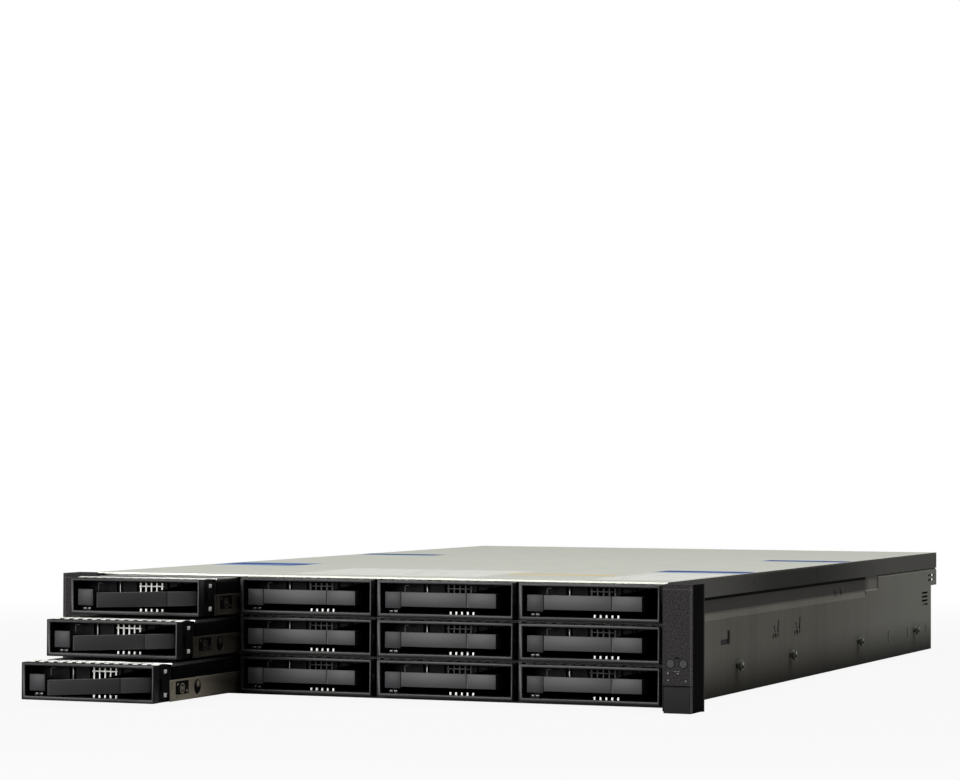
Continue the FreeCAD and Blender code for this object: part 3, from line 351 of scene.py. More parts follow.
@dataclass(frozen=True)
class Finish:
    """How a surface is finished.

    Attributes:
        name: The material's name.
        colour: The middle colour, from 0 to 255.
        grain: The kind of fine relief.
        size: The size of the grain.
        depth: The height of the grain.
        roughness: The middle roughness.
        metallic: 1 for bare metal.
        tone: How far the colour wanders, as a share.
        tone_size: The size of its blots.
        run: How the grain is stretched along each axis.
        specular: The strength of the reflection of a surface that isn't metal.
        coat: A clear coat's weight.
    """

    name: str
    colour: Spot
    grain: Grain = Grain.SATIN
    size: float = 0.6
    depth: float = 0.02
    roughness: float = 0.45
    metallic: float = 0.0
    tone: float = 0.12
    tone_size: float = 30.0
    run: Spot = (1, 1, 1)
    specular: float = 0.5
    coat: float = 0.0

    def tint(self, surface: Surface, colour: Socket) -> Socket:
        """Adds marks to the colour; plain finishes have none."""
        return colour

    @functools.cache
    def material(self) -> bpy.types.Material:
        """Builds the material the first time, and gives the same one later."""
        surface = Surface(f"look_{self.name}")
        if self.grain is Grain.SPANGLE:
            fine = surface.cells(self.size, self.run)
        else:
            fine = surface.noise(self.size, 6.0 if self.grain is Grain.CAST else 2.0, self.run)
        cloud = surface.noise(self.tone_size, 2.0)
        share = (cloud * CLOUD_SHARE + fine * GRAIN_SHARE - 0.5).rise(0.0, 1.0)
        dark, pale = ((*(min(1.0, part * (1 + change)) for part in shade(*self.colour)[:3]), 1.0)
                      for change in (-self.tone, self.tone))
        colour = self.tint(surface, surface.blend(share, dark, pale))
        shader = surface.shader.inputs
        surface.feed(shader["Base Color"], colour)
        surface.feed(shader["Roughness"], self.roughness - ROUGH_SPREAD / 2 + fine * ROUGH_SPREAD)
        shader["Metallic"].default_value = self.metallic
        shader["Specular IOR Level"].default_value = self.specular
        shader["Coat Weight"].default_value = self.coat
        surface.emboss(fine, self.depth)
        return surface.material


@dataclass(frozen=True)
class CoverFinish(Finish):
    """Zinc-coated cover sheet with blue scoops, pale labels, a yellow strip, and painted shade in scoops and
    on flanges.

    Patches, labels and strip hold low X, low Y, high X and high Y. The flanges begin at half from the middle;
    their painted shade is darkest along the shade run, which is in Y, and a painted highlight lies along the
    bend, which is in Z.
    """

    patches: tuple[Patch, ...] = ()
    labels: tuple[Patch, ...] = ()
    strip: Patch = (66, 78, 148, 92)
    half: float = 219.1
    flange_shade_run: Patch = (60, 260, 330, 620)
    bend: Flat = (83.4, 84.4)

    def tint(self, surface: Surface, colour: Socket) -> Socket:
        """Paints the scoops with painted shade in their recesses, the labels, the strip, and the flanges with
        painted shade and a painted highlight.
        """
        for left, near, right, far in self.patches:
            across, middle = surface.x.between(left, right), (near + far) * 0.5
            colour = surface.blend(across * surface.y.between(near, far), colour, shade(126, 152, 196))
            # painted shade: a navy band across the middle of each scoop stands for the shade in its recess
            scoop_shade = surface.y.between(middle - 4, middle + 12, 5.0)
            colour = surface.blend(across * scoop_shade, colour, shade(26, 40, 104))
        for left, near, right, far in self.labels:
            sheet = surface.x.between(left, right) * surface.y.between(near, far)
            words = surface.noise(6.0, 1.0, (1, 0.2, 1)).rise(0.45, 0.6)
            lines = (surface.y * 0.25).repeat(1.0).between(0.4, 0.7, 0.1) * words
            paper = surface.blend(lines * 0.35, shade(226, 226, 220), shade(120, 120, 118))
            colour = surface.blend(sheet, colour, paper)
        left, near, right, far = self.strip
        yellow = surface.x.between(left, right) * surface.y.between(near, far, 2.0)
        colour = surface.blend(yellow * 0.8, colour, shade(226, 190, 92))
        # painted shade: the flanges are the same sheet as the top, darkened as shade and darkest along the
        # run in Y, with a painted highlight along the bend
        side = surface.x.size().rise(self.half, self.half + 0.2)
        shade_dip = surface.y.rise(*self.flange_shade_run[:2]) * (1 - surface.y.rise(*self.flange_shade_run[2:]))
        flange = surface.blend(shade_dip * 0.85, shade(112, 111, 107), shade(56, 56, 55))
        flange = surface.blend(surface.z.rise(*self.bend) * 0.5, flange, shade(120, 120, 114))
        surface.feed(surface.shader.inputs["Metallic"], (1 - side) * self.metallic)
        return surface.blend(side, colour, flange)


@dataclass(frozen=True)
class EarFinish(Finish):
    """Grained ear moulding with a fine border line round its front, and painted shade that darkens its
    flanks.

    Front is in Y and top in Z; border and flank are distances from the middle.
    """

    front: Flat = (-24.9, -24.7)
    border: Flat = (239.4, 240.0)
    top: Flat = (80.9, 81.4)
    flank: Flat = (241.1, 241.25)

    def tint(self, surface: Surface, colour: Socket) -> Socket:
        """Paints the border line, and painted shade on the flanks."""
        front, out = 1 - surface.y.rise(*self.front), surface.x.size()
        line = out.between(*self.border, 0.15) + surface.z.between(*self.top, 0.15)
        colour = surface.blend(line * front * 0.3, colour, shade(120, 118, 116))
        # painted shade: the flanks are the same moulding as the front, darkened to near black as shade
        return surface.blend(out.rise(*self.flank), colour, shade(8, 8, 8))


@dataclass(frozen=True)
class WallFinish(Finish):
    """Dark coated wall sheet with streaks and scuffs, painted sheen at its ends, and painted shade on a band,
    the foot and the gap under the cover.

    The sheen runs, band_end and the catch notch are in Y, and the others are in Z.
    """

    front_sheen: Flat = (-40, 150)
    rear_sheen: Flat = (330, 700)
    band: Flat = (60.4, 71.5)
    band_end: Flat = (498, 520)
    foot: Flat = (-8.0, 34.0)
    scuffed: Flat = (16, 30)
    catch: Flat = (503, 541)

    def tint(self, surface: Surface, colour: Socket) -> Socket:
        """Paints the upright streaks and the scuffs, painted sheen at the ends, and painted shade on the
        band, the foot and the gap under the cover.
        """
        streak = surface.noise(9.0, 3.0, (1, 1, 0.05)).rise(0.35, 0.75)
        scuff = surface.noise(14.0, 5.0, (1, 0.3, 2)).rise(0.62, 0.7) * surface.z.between(*self.scuffed, 5.0)
        # painted shade on the recessed band under the cover flange
        band = surface.z.between(*self.band, 0.6) * (1 - surface.y.rise(*self.band_end))
        start, end = self.catch
        # painted shade: the gap under the cover flange turns near black
        gap = surface.z.between(69.3, 72.0, 0.3) * (1 - surface.y.rise(start, start + 3))
        gap = gap + surface.z.between(70.9, 72.0, 0.2) * surface.y.rise(end, end + 2)
        # the streaks and scuffs are the sheet's own marks; the lighter front and rear are painted sheen, and
        # the band, the foot and the gap are painted shade
        marks_and_painted_light = ((streak * 0.3, (138, 136, 128)),
                 ((1 - surface.y.rise(*self.front_sheen)) * 0.6, (164, 161, 152)),
                 (surface.y.rise(*self.rear_sheen) * 0.7, (160, 160, 153)),
                 (band * 0.8, (74, 72, 70)),
                 ((1 - surface.z.rise(*self.foot)) * 0.95, (26, 26, 23)),
                 (scuff * 0.2, (120, 118, 110)),
                 (gap, (4, 4, 4)))
        for share, paint in marks_and_painted_light:
            colour = surface.blend(share, colour, shade(*paint))
        return colour


@dataclass(frozen=True)
class RailFinish(Finish):
    """Carrier rail steel with painted shade: bright at the front of the lowest row and painted darker
    elsewhere, where shade falls.

    The painted shade covers the rows above a height in Z, and on a lowest rail it grows towards the rear
    along a run in Y.
    """

    shaded_rows: Flat = (24, 28)
    shade_fade: Flat = (-105, -25)

    def tint(self, surface: Surface, colour: Socket) -> Socket:
        """Paints the shade."""
        # painted shade: the rails of the upper rows are darkened, and a lowest rail darkens towards its rear
        raised = surface.z.rise(*self.shaded_rows)
        shade_share = raised * 0.93 + (1 - raised) * surface.y.rise(*self.shade_fade) * 0.85
        return surface.blend(shade_share, colour, shade(44, 40, 34))


MOULDED_BLACK = Finish("moulded_black", (18, 18, 19), Grain.SPARK, 0.5, 0.02, 0.38, specular=0.35)
# painted shade: a darkened copy of the moulded black for the insides of the wells
WELL_SHADE_BLACK = Finish("well_shade_black", (7, 7, 8), Grain.SPARK, 0.5, 0.02, 0.55, specular=0.12)
LEVER_GREY = Finish("lever_grey", (42, 42, 44), Grain.SATIN, 0.5, 0.012, 0.56, specular=0.7)
# painted light: a paler copy of the lever grey
KNUCKLE_LIT_GREY = Finish("knuckle_lit_grey", (92, 92, 94), Grain.SATIN, 0.5, 0.012, 0.5, specular=0.3)
BUTTON_GREY = Finish("button_grey", (50, 50, 52), Grain.SPARK, 0.7, 0.03, 0.5, specular=0.3)
EAR_BLACK = EarFinish("ear_black", (54, 52, 53), Grain.SPARK, 1.0, 0.14, 0.5, tone=0.55,
                      tone_size=1.0, specular=0.01)
FLAP_GREY = Finish("flap_grey", (31, 30, 31), Grain.SATIN, 0.6, 0.015, 0.5, specular=0.08)
KEY_BLACK = Finish("key_black", (34, 34, 35), Grain.SATIN, 0.4, 0.01, 0.36, specular=0.3)
DEEP_BLACK = Finish("deep_black", (4, 4, 4), Grain.SATIN, 0.6, 0.01, 0.6, specular=0.1)
LAMP_WHITE = Finish("lamp_white", (150, 152, 150), Grain.SATIN, 0.4, 0.002, 0.3)
COATED_STEEL = WallFinish("coated_steel", (124, 122, 114), Grain.SATIN, 0.7, 0.012, 0.45, tone=0.1,
                          tone_size=70.0, specular=0.01)
CAGE_STEEL = Finish("cage_steel", (16, 16, 16), Grain.SATIN, 0.7, 0.015, 0.45, specular=0.4)
COVER_ZINC = CoverFinish(
    "cover_zinc", (204, 206, 196), Grain.SATIN, 0.6, 0.002, 0.42, 0.45, tone=0.03, specular=0.01,
    patches=((147, 165, 217, 205), (-217, 165, -147, 225), (147, 438, 217, 470), (-217, 446, -147, 478)),
    labels=((-81, 20, 64, 142), (152, 20, 214, 152)))
ZINC = Finish("zinc_sheet", (190, 190, 184), Grain.SPANGLE, 5.0, 0.004, 0.4, 0.8, tone=0.08)
BRIGHT_STEEL = Finish("bright_steel", (225, 224, 218), Grain.ROLLED, 0.5, 0.004, 0.26, 1.0, tone=0.06,
                      run=(0.15, 1, 1))
FOOT_ZINC = Finish("foot_zinc", (246, 246, 240), Grain.SATIN, 0.5, 0.003, 0.4, 0.15, tone=0.05)
# painted shade: a darkened copy of the grille steel for parts that lie in shade
PAINTED_SHADE_STEEL = Finish("painted_shade_steel", (44, 44, 44), Grain.ROLLED, 0.5, 0.004, 0.4, 0.6, tone=0.1)
STUD_STEEL = Finish("stud_steel", (128, 132, 122), Grain.CAST, 0.8, 0.02, 0.34, 1.0, tone=0.35, tone_size=1.5)
RAIL_STEEL = RailFinish("rail_steel", (160, 152, 136), Grain.ROLLED, 0.5, 0.004, 0.35, 0.2, tone=0.08,
                        run=(1, 0.1, 1))
DRIVE_CAST = Finish("drive_cast", (7, 7, 8), Grain.CAST, 1.2, 0.05, 0.6, specular=0.04)
DRIVE_LID = Finish("drive_lid", (200, 200, 198), Grain.ROLLED, 0.5, 0.003, 0.3, 1.0, tone=0.05,
                   run=(1, 0.12, 1))
SOLDER_MASK = Finish("solder_mask", (18, 70, 44), Grain.SATIN, 1.5, 0.01, 0.35)
SINK_METAL = Finish("sink_metal", (200, 201, 203), Grain.ROLLED, 0.6, 0.004, 0.35, 1.0, run=(1, 0.1, 1))
FAN_BLACK = Finish("fan_black", (20, 20, 21), Grain.SPARK, 0.6, 0.02, 0.45)
LATCH_GREEN = Finish("latch_green", (30, 120, 78), Grain.SPARK, 0.5, 0.02, 0.45)
LENS = Finish("light_guide", (74, 76, 74), Grain.SATIN, 0.5, 0.002, 0.2, tone=0.03, coat=0.3)


# ---- shapes


def box_outline(left: float, low: float, right: float, high: float) -> list[Flat]:
    """The outline of a rectangle."""
    return [(left, low), (right, low), (right, high), (left, high)]


def round_outline(centre: Flat, radius: float, sides: int = 24) -> list[Flat]:
    """The outline of a circle."""
    return [(centre[0] + radius * math.cos(math.tau * index / sides),
             centre[1] + radius * math.sin(math.tau * index / sides)) for index in range(sides)]


class Axis(Enum):
    """The direction in which an outline is drawn out."""

    X = 0
    Y = 1
    Z = 2

    def lift(self, flat: Flat, along: float) -> Vector:
        """The point at an outline's corner and a distance along this axis."""
        spot = list(flat)
        spot.insert(self.value, along)
        return Vector(spot)


class Form:
    """Closed shapes in millimetres that become one mesh piece."""

    def __init__(self, place: Matrix | None = None) -> None:
        """Starts empty, with the place that later shapes get."""
        self.place = place or Matrix.Identity(4)
        self.mesh = bmesh.new()

    def take(self, part: bmesh.types.BMesh, soft: float) -> "Form":
        """Uses up a shape: rounds its edges to a width, puts it in place and adds it."""
        bmesh.ops.recalc_face_normals(part, faces=part.faces)
        if soft:
            edges = [edge for edge in part.edges if edge.is_manifold and edge.calc_face_angle() > 0.5]
            bmesh.ops.bevel(part, geom=edges, offset=soft, segments=2, profile=0.5, affect="EDGES",
                            clamp_overlap=True)
        part.transform(self.place)
        store = bpy.data.meshes.new("store")
        part.to_mesh(store)
        part.free()
        self.mesh.from_mesh(store)
        bpy.data.meshes.remove(store)
        return self

    def prism(self, axis: Axis, start: float, length: float, outline: Sequence[Flat],
              holes: Sequence[Sequence[Flat]] = (), soft: float = 0.2) -> "Form":
        """Draws an outline with holes out along an axis.

        Args:
            axis: The axis.
            start: Where it starts.
            length: How long it is.
            outline: Its corners, in the other two axes.
            holes: The outlines of holes through it.
            soft: The width of its rounded edges.
        """
        part = bmesh.new()
        edges = []
        for loop in (outline, *holes):
            ring = [part.verts.new(axis.lift(flat, start)) for flat in loop]
            edges += [part.edges.new((ring[index - 1], ring[index])) for index in range(len(ring))]
        bmesh.ops.triangle_fill(part, use_beauty=True, use_dissolve=False, edges=edges)
        bmesh.ops.dissolve_limit(part, angle_limit=0.01, verts=part.verts[:], edges=part.edges[:])
        grown = bmesh.ops.extrude_face_region(part, geom=part.faces[:])
        moved = [item for item in grown["geom"] if isinstance(item, bmesh.types.BMVert)]
        bmesh.ops.translate(part, verts=moved, vec=axis.lift((0, 0), length))
        return self.take(part, soft)

    def block(self, low: Spot, high: Spot, soft: float = 0.2) -> "Form":
        """Adds a block between two corners."""
        return self.prism(Axis.Z, low[2], high[2] - low[2], box_outline(*low[:2], *high[:2]), soft=soft)

    def rod(self, axis: Axis, start: float, length: float, centre: Flat, radius: float,
            soft: float = 0.15, sides: int = 24) -> "Form":
        """Adds a round rod."""
        return self.prism(axis, start, length, round_outline(centre, radius, sides), soft=soft)

    def tube(self, axis: Axis, start: float, length: float, centre: Flat, radius: float, bore: float,
             sides: int = 24) -> "Form":
        """Adds a round tube with sharp edges."""
        return self.prism(axis, start, length, round_outline(centre, radius, sides),
                          [round_outline(centre, bore, sides)], soft=0)

    def flank(self, side: int, inner: float, outer: float, low: Flat, high: Flat,
              soft: float = 0.0) -> "Form":
        """Adds a block on the left (-1) or right (1) between two distances from the middle."""
        near, far = sorted((side * inner, side * outer))
        return self.block((near, *low), (far, *high), soft)

    def copied(self, node: str, soft: float = 0.2,
               keep: Callable[[Vector, Vector], bool] | None = None) -> "Form":
        """Adds a merged copy of a frame node with rounded edges.

        Args:
            node: The node.
            soft: The width of the rounded edges.
            keep: Says from a face's middle and normal whether it is used.
        """
        part = bmesh.new()
        part.from_mesh(bpy.data.objects[node].data)
        part.transform(Matrix.Scale(1 / MM, 4))
        if keep:
            gone = [face for face in part.faces if not keep(face.calc_center_median(), face.normal)]
            bmesh.ops.delete(part, geom=gone, context="FACES")
        bmesh.ops.remove_doubles(part, verts=part.verts[:], dist=0.002)
        bmesh.ops.dissolve_limit(part, angle_limit=0.02, verts=part.verts[:], edges=part.edges[:])
        return self.take(part, soft)

    def stamp(self, pattern: Pattern, **sizes: float) -> "Form":
        """Adds what a pattern makes with the given sizes."""
        made = pattern.mesh(**sizes)
        made.transform(self.place)
        self.mesh.from_mesh(made)
        bpy.data.meshes.remove(made)
        return self

    def piece(self, name: str, finish: Finish, body: str, *replaced: str) -> None:
        """Makes the piece, gives it its finish and ties it to its body.

        Args:
            name: Its name.
            finish: Its finish.
            body: The body that it moves with.
            replaced: The frame nodes that it stands for.
        """
        self.mesh.transform(Matrix.Scale(MM, 4))
        data = bpy.data.meshes.new(name)
        self.mesh.to_mesh(data)
        self.mesh.free()
        data.shade_smooth()
        data.set_sharp_from_angle(angle=SHARP)
        data.materials.append(finish.material())
        thing = show(name, data)
        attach(thing, body)
        if replaced:
            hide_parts(*replaced)
        LOG.info("%s rides on %s", thing.name, body)


# ---- carriers


@dataclass
class Carrier:
    """A drive carrier: bezel, grille, shield strip, rails, drive, lever and release button.

    Places are measured from the bezel ring's lower left front corner. The fields after the
    first two are its sizes and places.

    Attributes:
        number: 1 to 12, by row from the top left.
        swing: How far the lever is open, in degrees.
    """

    number: int
    swing: float
    wide: float = 102.4
    tall: float = 25.8
    ring: float = 8.0
    well: float = 18.0
    head: float = 27.0
    top: float = 25.2
    left: float = 2.8
    right: float = 101.0
    low: float = 2.6
    high: float = 23.7
    grille_left: float = 47.0
    grille_right: float = 65.0
    lever_left: float = 18.1
    lever_right: float = 89.5
    lever_low: float = 6.6
    lever_high: float = 17.7
    rail_top: float = 14.5
    finger_pitch: float = 7.25
    pivot: Flat = (92.8, 14.0)

    def __post_init__(self) -> None:
        """Makes the trees for what repeats."""
        self.bars = bar_row(BRIGHT_STEEL)
        self.fingers = finger_strip(BRIGHT_STEEL)
        self.spring = wire_coil(BRIGHT_STEEL)

    def place(self) -> Matrix:
        """Where the ring's corner is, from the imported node's box."""
        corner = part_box(self.node)[0] / MM
        return Matrix.Translation(corner + Vector((0.4, 0.0, 0.2)))

    @property
    def node(self) -> str:
        """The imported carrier's name."""
        return f"carrier_{self.number}"

    def build(self) -> None:
        """Builds every piece of the carrier."""
        self.build_bezel()
        self.build_grille()
        self.build_shield()
        self.build_rails()
        self.build_drive()
        self.build_lever()
        self.build_button()

    def build_bezel(self) -> None:
        """The moulded ring, the head behind it and the panel across its well."""
        well = box_outline(self.left, self.low, self.right, self.high)
        ring = Form(self.place())
        ring.prism(Axis.Y, 0, self.ring, box_outline(0, 0, self.wide, self.tall), [well], soft=0.45)
        ring.piece(f"bezel_{self.number}", MOULDED_BLACK, self.node, self.node)
        form = Form(self.place())
        back, edge = self.well + 2, 102
        form.prism(Axis.Y, self.ring - 0.4, self.well - self.ring + 2.4,
                   box_outline(0.4, 0.1, self.right - 0.1, self.top), [well], soft=0.15)
        form.block((0.4, back, 0.1), (self.left, self.head, self.top))
        form.block((0.4, back, 0.1), (edge, self.head, self.low))
        form.block((0.4, back, self.high), (edge, self.head, self.top))
        notches = [box_outline(9.2, 7.6, 13.6, 16.7), box_outline(16, 3.1, 20.6, 6.5),
                   box_outline(16, 19.4, 20.6, 22.5)]
        form.prism(Axis.X, self.right, 1.0, box_outline(self.ring - 0.4, 0.1, self.head, self.top), notches,
                   soft=0.12)
        window = box_outline(self.grille_left, self.low + 1.4, self.grille_right, self.high - 1.4)
        form.prism(Axis.Y, self.well, 2, well, [window], soft=0.12)
        form.block((8.8, self.ring, self.low), (14.8, self.well, 9.0))
        for across in (28.0, 44.0, 68.5, 79.0):
            form.block((across, self.well - 2.2, self.low), (across + 0.9, self.well, self.high), 0.1)
        form.block((70.5, self.well - 1.4, 19.2), (77.5, self.well, 22.0), 0.2)
        form.block((86.0, self.well - 2.4, self.low), (98.6, self.well, 5.6), 0.2)
        # painted shade: the head and panel inside the well take the darkened black
        form.piece(f"carrier_head_{self.number}", WELL_SHADE_BLACK, self.node)
        guide = Form(self.place())
        guide.block((31.2, self.well - 1.9, self.low), (32.1, self.well, self.high), 0.1)
        guide.block((6.4, 7.2, 3.1), (9.3, 8.4, 4.5), 0.15)
        guide.block((10.0, 7.2, 3.1), (13.0, 8.4, 4.5), 0.15)
        guide.piece(f"light_guides_{self.number}", LENS, self.node)

    def build_grille(self) -> None:
        """The steel grille in the panel, its bent feet and the small spring parts of the well."""
        form = Form(self.place())
        bar, count = 0.9, 5
        pitch = (self.grille_right - self.grille_left - bar) / (count - 1)
        left, right, back = self.grille_left - 0.8, self.grille_right + 0.8, self.well - 0.1
        form.stamp(self.bars, Count=count, Pitch=pitch, Wide=bar, Deep=0.9, Tall=16.6, Left=self.grille_left,
                   Front=self.well - 0.9, Low=5.6)
        form.block((left, back - 1.0, 19.4), (right, back, 20.3), 0.1)
        # painted shade: a closed carrier's grille takes the darkened steel and an open one's the pale zinc,
        # lit and shaded copies of one steel
        form.piece(f"grille_{self.number}", FOOT_ZINC if self.swing else PAINTED_SHADE_STEEL, self.node)
        clip = Form(self.place())
        clip.block((16.4, 11.6, 9.2), (17.0, 12.4, 22.2), 0.1)
        clip.block((16.4, 11.6, 21.4), (19.6, 12.4, 22.2), 0.1)
        clip.rod(Axis.Z, self.low, self.high - self.low, self.pivot, 0.9, soft=0)
        for middle in (self.low + 1.9, self.high - 1.9):
            clip.tube(Axis.Y, 9.6, 0.9, (92.0, middle), 1.8, 1.1, 16)
        # painted shade: the clip, the hinge pin and its rings always take the darkened steel
        clip.piece(f"clip_{self.number}", PAINTED_SHADE_STEEL, self.node)
        foot = Form(self.place())
        foot.stamp(self.bars, Count=count, Pitch=pitch, Wide=bar + 0.3, Deep=1.2, Tall=2.1,
                   Left=self.grille_left + 6.3, Front=5.2, Low=self.low - 0.2)
        foot.block((left, back - 1.2, 4.5), (right, back, 5.4), 0.1)
        for low, high in ((3.3, 6.3), (19.6, 22.3)):
            foot.block((101.2, 16.3, low), (102.2, 20.3, high), 0.3)
        foot.stamp(self.spring, Across=self.pivot[0], Back=self.pivot[1], Low=self.lever_high + 0.4)
        foot.piece(f"grille_feet_{self.number}", FOOT_ZINC, self.node)

    def build_shield(self) -> None:
        """The arched contact fingers on top of the head, with black blocks in the slits between them as
        painted shade.
        """
        rise = 1.15 if self.swing and self.number > 4 else 0.75
        form, slit_shades = Form(self.place()), Form(self.place())
        form.stamp(self.fingers, Pitch=self.finger_pitch, Left=1.0, Front=self.ring - 0.4, Low=self.top,
                   Rise=rise)
        form.block((0.6, self.head - 0.6, 25.1), (101.8, self.head + 0.6, 25.6), 0.1)
        form.piece(f"shield_{self.number}", FOOT_ZINC, self.node)
        # painted shade: black blocks fill the slits between the fingers
        slit_shades.stamp(self.bars, Count=13, Pitch=self.finger_pitch, Wide=2.4, Deep=1.5, Tall=rise - 0.1,
                    Left=6.43, Front=self.ring - 0.5, Low=self.top)
        slit_shades.piece(f"shield_slit_shades_{self.number}", DEEP_BLACK, self.node)

    def build_rails(self) -> None:
        """The two steel rails with their cut-outs, screws and dampers."""
        form, damper = Form(self.place()), Form(self.place())
        top, eye, hole = self.rail_top, (42.6, 8.0), (65.5, 7.6)
        profile = [(24, -0.2), (176, -0.2), (176, 9.0), (150, top), (24, top)]
        holes = [box_outline(26.3, 7.0, 27.5, 13.4), box_outline(32.2, 4.0, 51.8, 13.2),
                 round_outline(hole, 5.2), round_outline((34.6, 1.9), 0.9, 12)]
        for start in (-0.4, 102.0):
            form.prism(Axis.X, start, 0.8, profile, holes, soft=0.2)
            damper.prism(Axis.X, start + 0.1, 0.6, box_outline(32.0, 3.8, 52.0, 13.4),
                         [round_outline(eye, 4.0)], soft=0.1)
            form.tube(Axis.X, start + 0.05, 0.7, eye, 3.7, 2.8, 20)
            for across, up in ((35.4, 11.2), (49.2, 5.9)):
                form.rod(Axis.X, start, 0.8, (across, up), 1.1, soft=0.2)
            form.rod(Axis.X, start, 0.8, eye, 1.7, soft=0.25)
            form.rod(Axis.X, start, 0.7, (66.6, 9.6), 2.3, soft=0.25)
            damper.rod(Axis.X, start + 0.1, 0.5, eye, 4.1, soft=0.1)
            damper.rod(Axis.X, start + 0.1, 0.4, hole, 5.3, soft=0.1)
        form.piece(f"rails_{self.number}", RAIL_STEEL, self.node)
        damper.piece(f"rail_dampers_{self.number}", DEEP_BLACK, self.node)

    def build_drive(self) -> None:
        """The disk drive: cast base and stepped steel lid."""
        form = Form(self.place())
        form.block((0.4, 30, -0.2), (102, 177, 23.4), 0.4)
        form.block((0.2, 62, 16.4), (102.2, 96, 21.6), 0.3)
        form.piece(f"drive_base_{self.number}", DRIVE_CAST, self.node)
        lid = Form(self.place())
        stepped = [(1.9, 31.5), (100.5, 31.5), (100.5, 140), (94, 165), (8.4, 165), (1.9, 140)]
        lid.prism(Axis.Z, 23.4, 2.4, stepped, soft=0.5)
        for across in (6, 96.4):
            for along in (36, 98, 136):
                lid.rod(Axis.Z, 25.6, 0.3, (across, along), 1.9, soft=0.1)
        lid.piece(f"drive_lid_{self.number}", DRIVE_LID, self.node)

    def build_lever(self) -> None:
        """The ejector lever: face plate with its seam, knuckle, web and hinge barrel."""
        body = f"lever_{self.number}"
        place = (self.place() @ Matrix.Translation(Vector((*self.pivot, 0)))
                 @ Matrix.Rotation(math.radians(self.swing), 4, "Z"))
        plate, knuckle, web = Form(place), Form(place), Form(place)
        left, right = self.lever_left - self.pivot[0], self.lever_right - self.pivot[0]
        face, low, high = 1 - self.pivot[1], self.lever_low + 0.9, self.lever_high
        plate.block((left, face, low), (-25.5, face + 3, high), 0.35)
        plate.block((-24.3, face, low), (right, face + 3, high), 0.35)
        plate.block((-26.2, face + 0.7, low + 0.1), (-23.6, face + 2.9, high - 0.1), 0)
        plate.piece(f"lever_plate_{self.number}", LEVER_GREY, body, body)
        knuckle.block((-1.3, -5.2, low + 0.3), (2.4, 0, high - 0.3), 0.4)
        # painted light: the knuckle takes the paler grey so it reads lit in the lever plate's shade
        knuckle.piece(f"lever_knuckle_{self.number}", KNUCKLE_LIT_GREY, body)
        arm = [(right - 2.2, face + 2.8), (right + 0.6, face + 2.8), (2.07, 0), (-2.07, 0)]
        web.prism(Axis.Z, low, high - low, arm, soft=0.2)
        web.prism(Axis.Z, low, high - low, round_outline((0, 0), 2.3, 32), [round_outline((0, 0), 0.96, 20)],
                  soft=0.2)
        # painted shade: the lever's web takes the darkened black of the well
        web.piece(f"lever_web_{self.number}", WELL_SHADE_BLACK, body)

    def build_button(self) -> None:
        """The release button with its stem."""
        form = Form(self.place())
        form.block((5.8, 1, 6.3), (17.8, 4, 17.8), 0.45)
        form.block((6.7, 0.85, 7.2), (16.9, 1.4, 16.9), 0.2)
        form.block((8.8, 3.8, 9.3), (14.8, 16.2, 14.8), 0.2)
        name = f"release_button_{self.number}"
        form.piece(f"release_key_{self.number}", BUTTON_GREY, name, name)


# ---- shell


@dataclass
class Ears:
    """The two rack ears with their flaps, front buttons and lamps."""

    front: float = -25.0

    def build(self) -> None:
        """Builds every piece of the ears."""
        for side in ("right", "left"):
            node = f"{side}_ear"
            cover = Form().copied(node, 0.4, lambda spot, normal: spot.y < -2.001
                                  or (spot.y < -1.9 and normal.y > 0.5))
            cover.piece(f"ear_cover_{side}", EAR_BLACK, "root", node)
            plate = Form().copied(node, 0.2, lambda spot, normal: spot.y > -1.999
                                  or (spot.y > -2.0005 and normal.y < -0.5))
            plate.piece(f"ear_plate_{side}", CAGE_STEEL, "root")
            flap = f"{side}_flap"
            Form().copied(flap, 0.3).piece(f"flap_plate_{side}", FLAP_GREY, flap, flap)
        for name in ("power_button", "id_button"):
            Form().copied(name, 0.2).piece(f"{name}_cap", KEY_BLACK, name, name)
        self.mark()

    def mark(self) -> None:
        """The button rims, slot, seam and lamps of the right ear."""
        rims = Form()
        for across in (225.2, 234.4):
            rims.tube(Axis.Y, self.front - 0.05, 0.6, (across, 31), 3.3, 2.7)
        slot = [(229.8 + 2.0 * math.cos(math.tau * step / 20), 34.9 + 0.75 * math.sin(math.tau * step / 20))
                for step in range(20)]
        rims.prism(Axis.Y, self.front - 0.05, 0.6, slot, soft=0)
        rims.block((219.6, self.front - 0.03, 15.9), (240.9, self.front + 0.8, 16.3), 0)
        rims.piece("ear_rims", DEEP_BLACK, "root")
        lamps = Form()
        for across, up in ((223.4, 24.5), (230.5, 24.4), (223.5, 19.8), (236.2, 19.5)):
            lamps.rod(Axis.Y, self.front - 0.06, 0.5, (across, up), 0.42, soft=0, sides=12)
        for across in (227.6, 228.7, 229.8, 230.9):
            lamps.block((across, self.front - 0.06, 25.6), (across + 0.5, self.front + 0.3, 26.0), 0)
        lamps.piece("ear_lamps", LAMP_WHITE, "root")


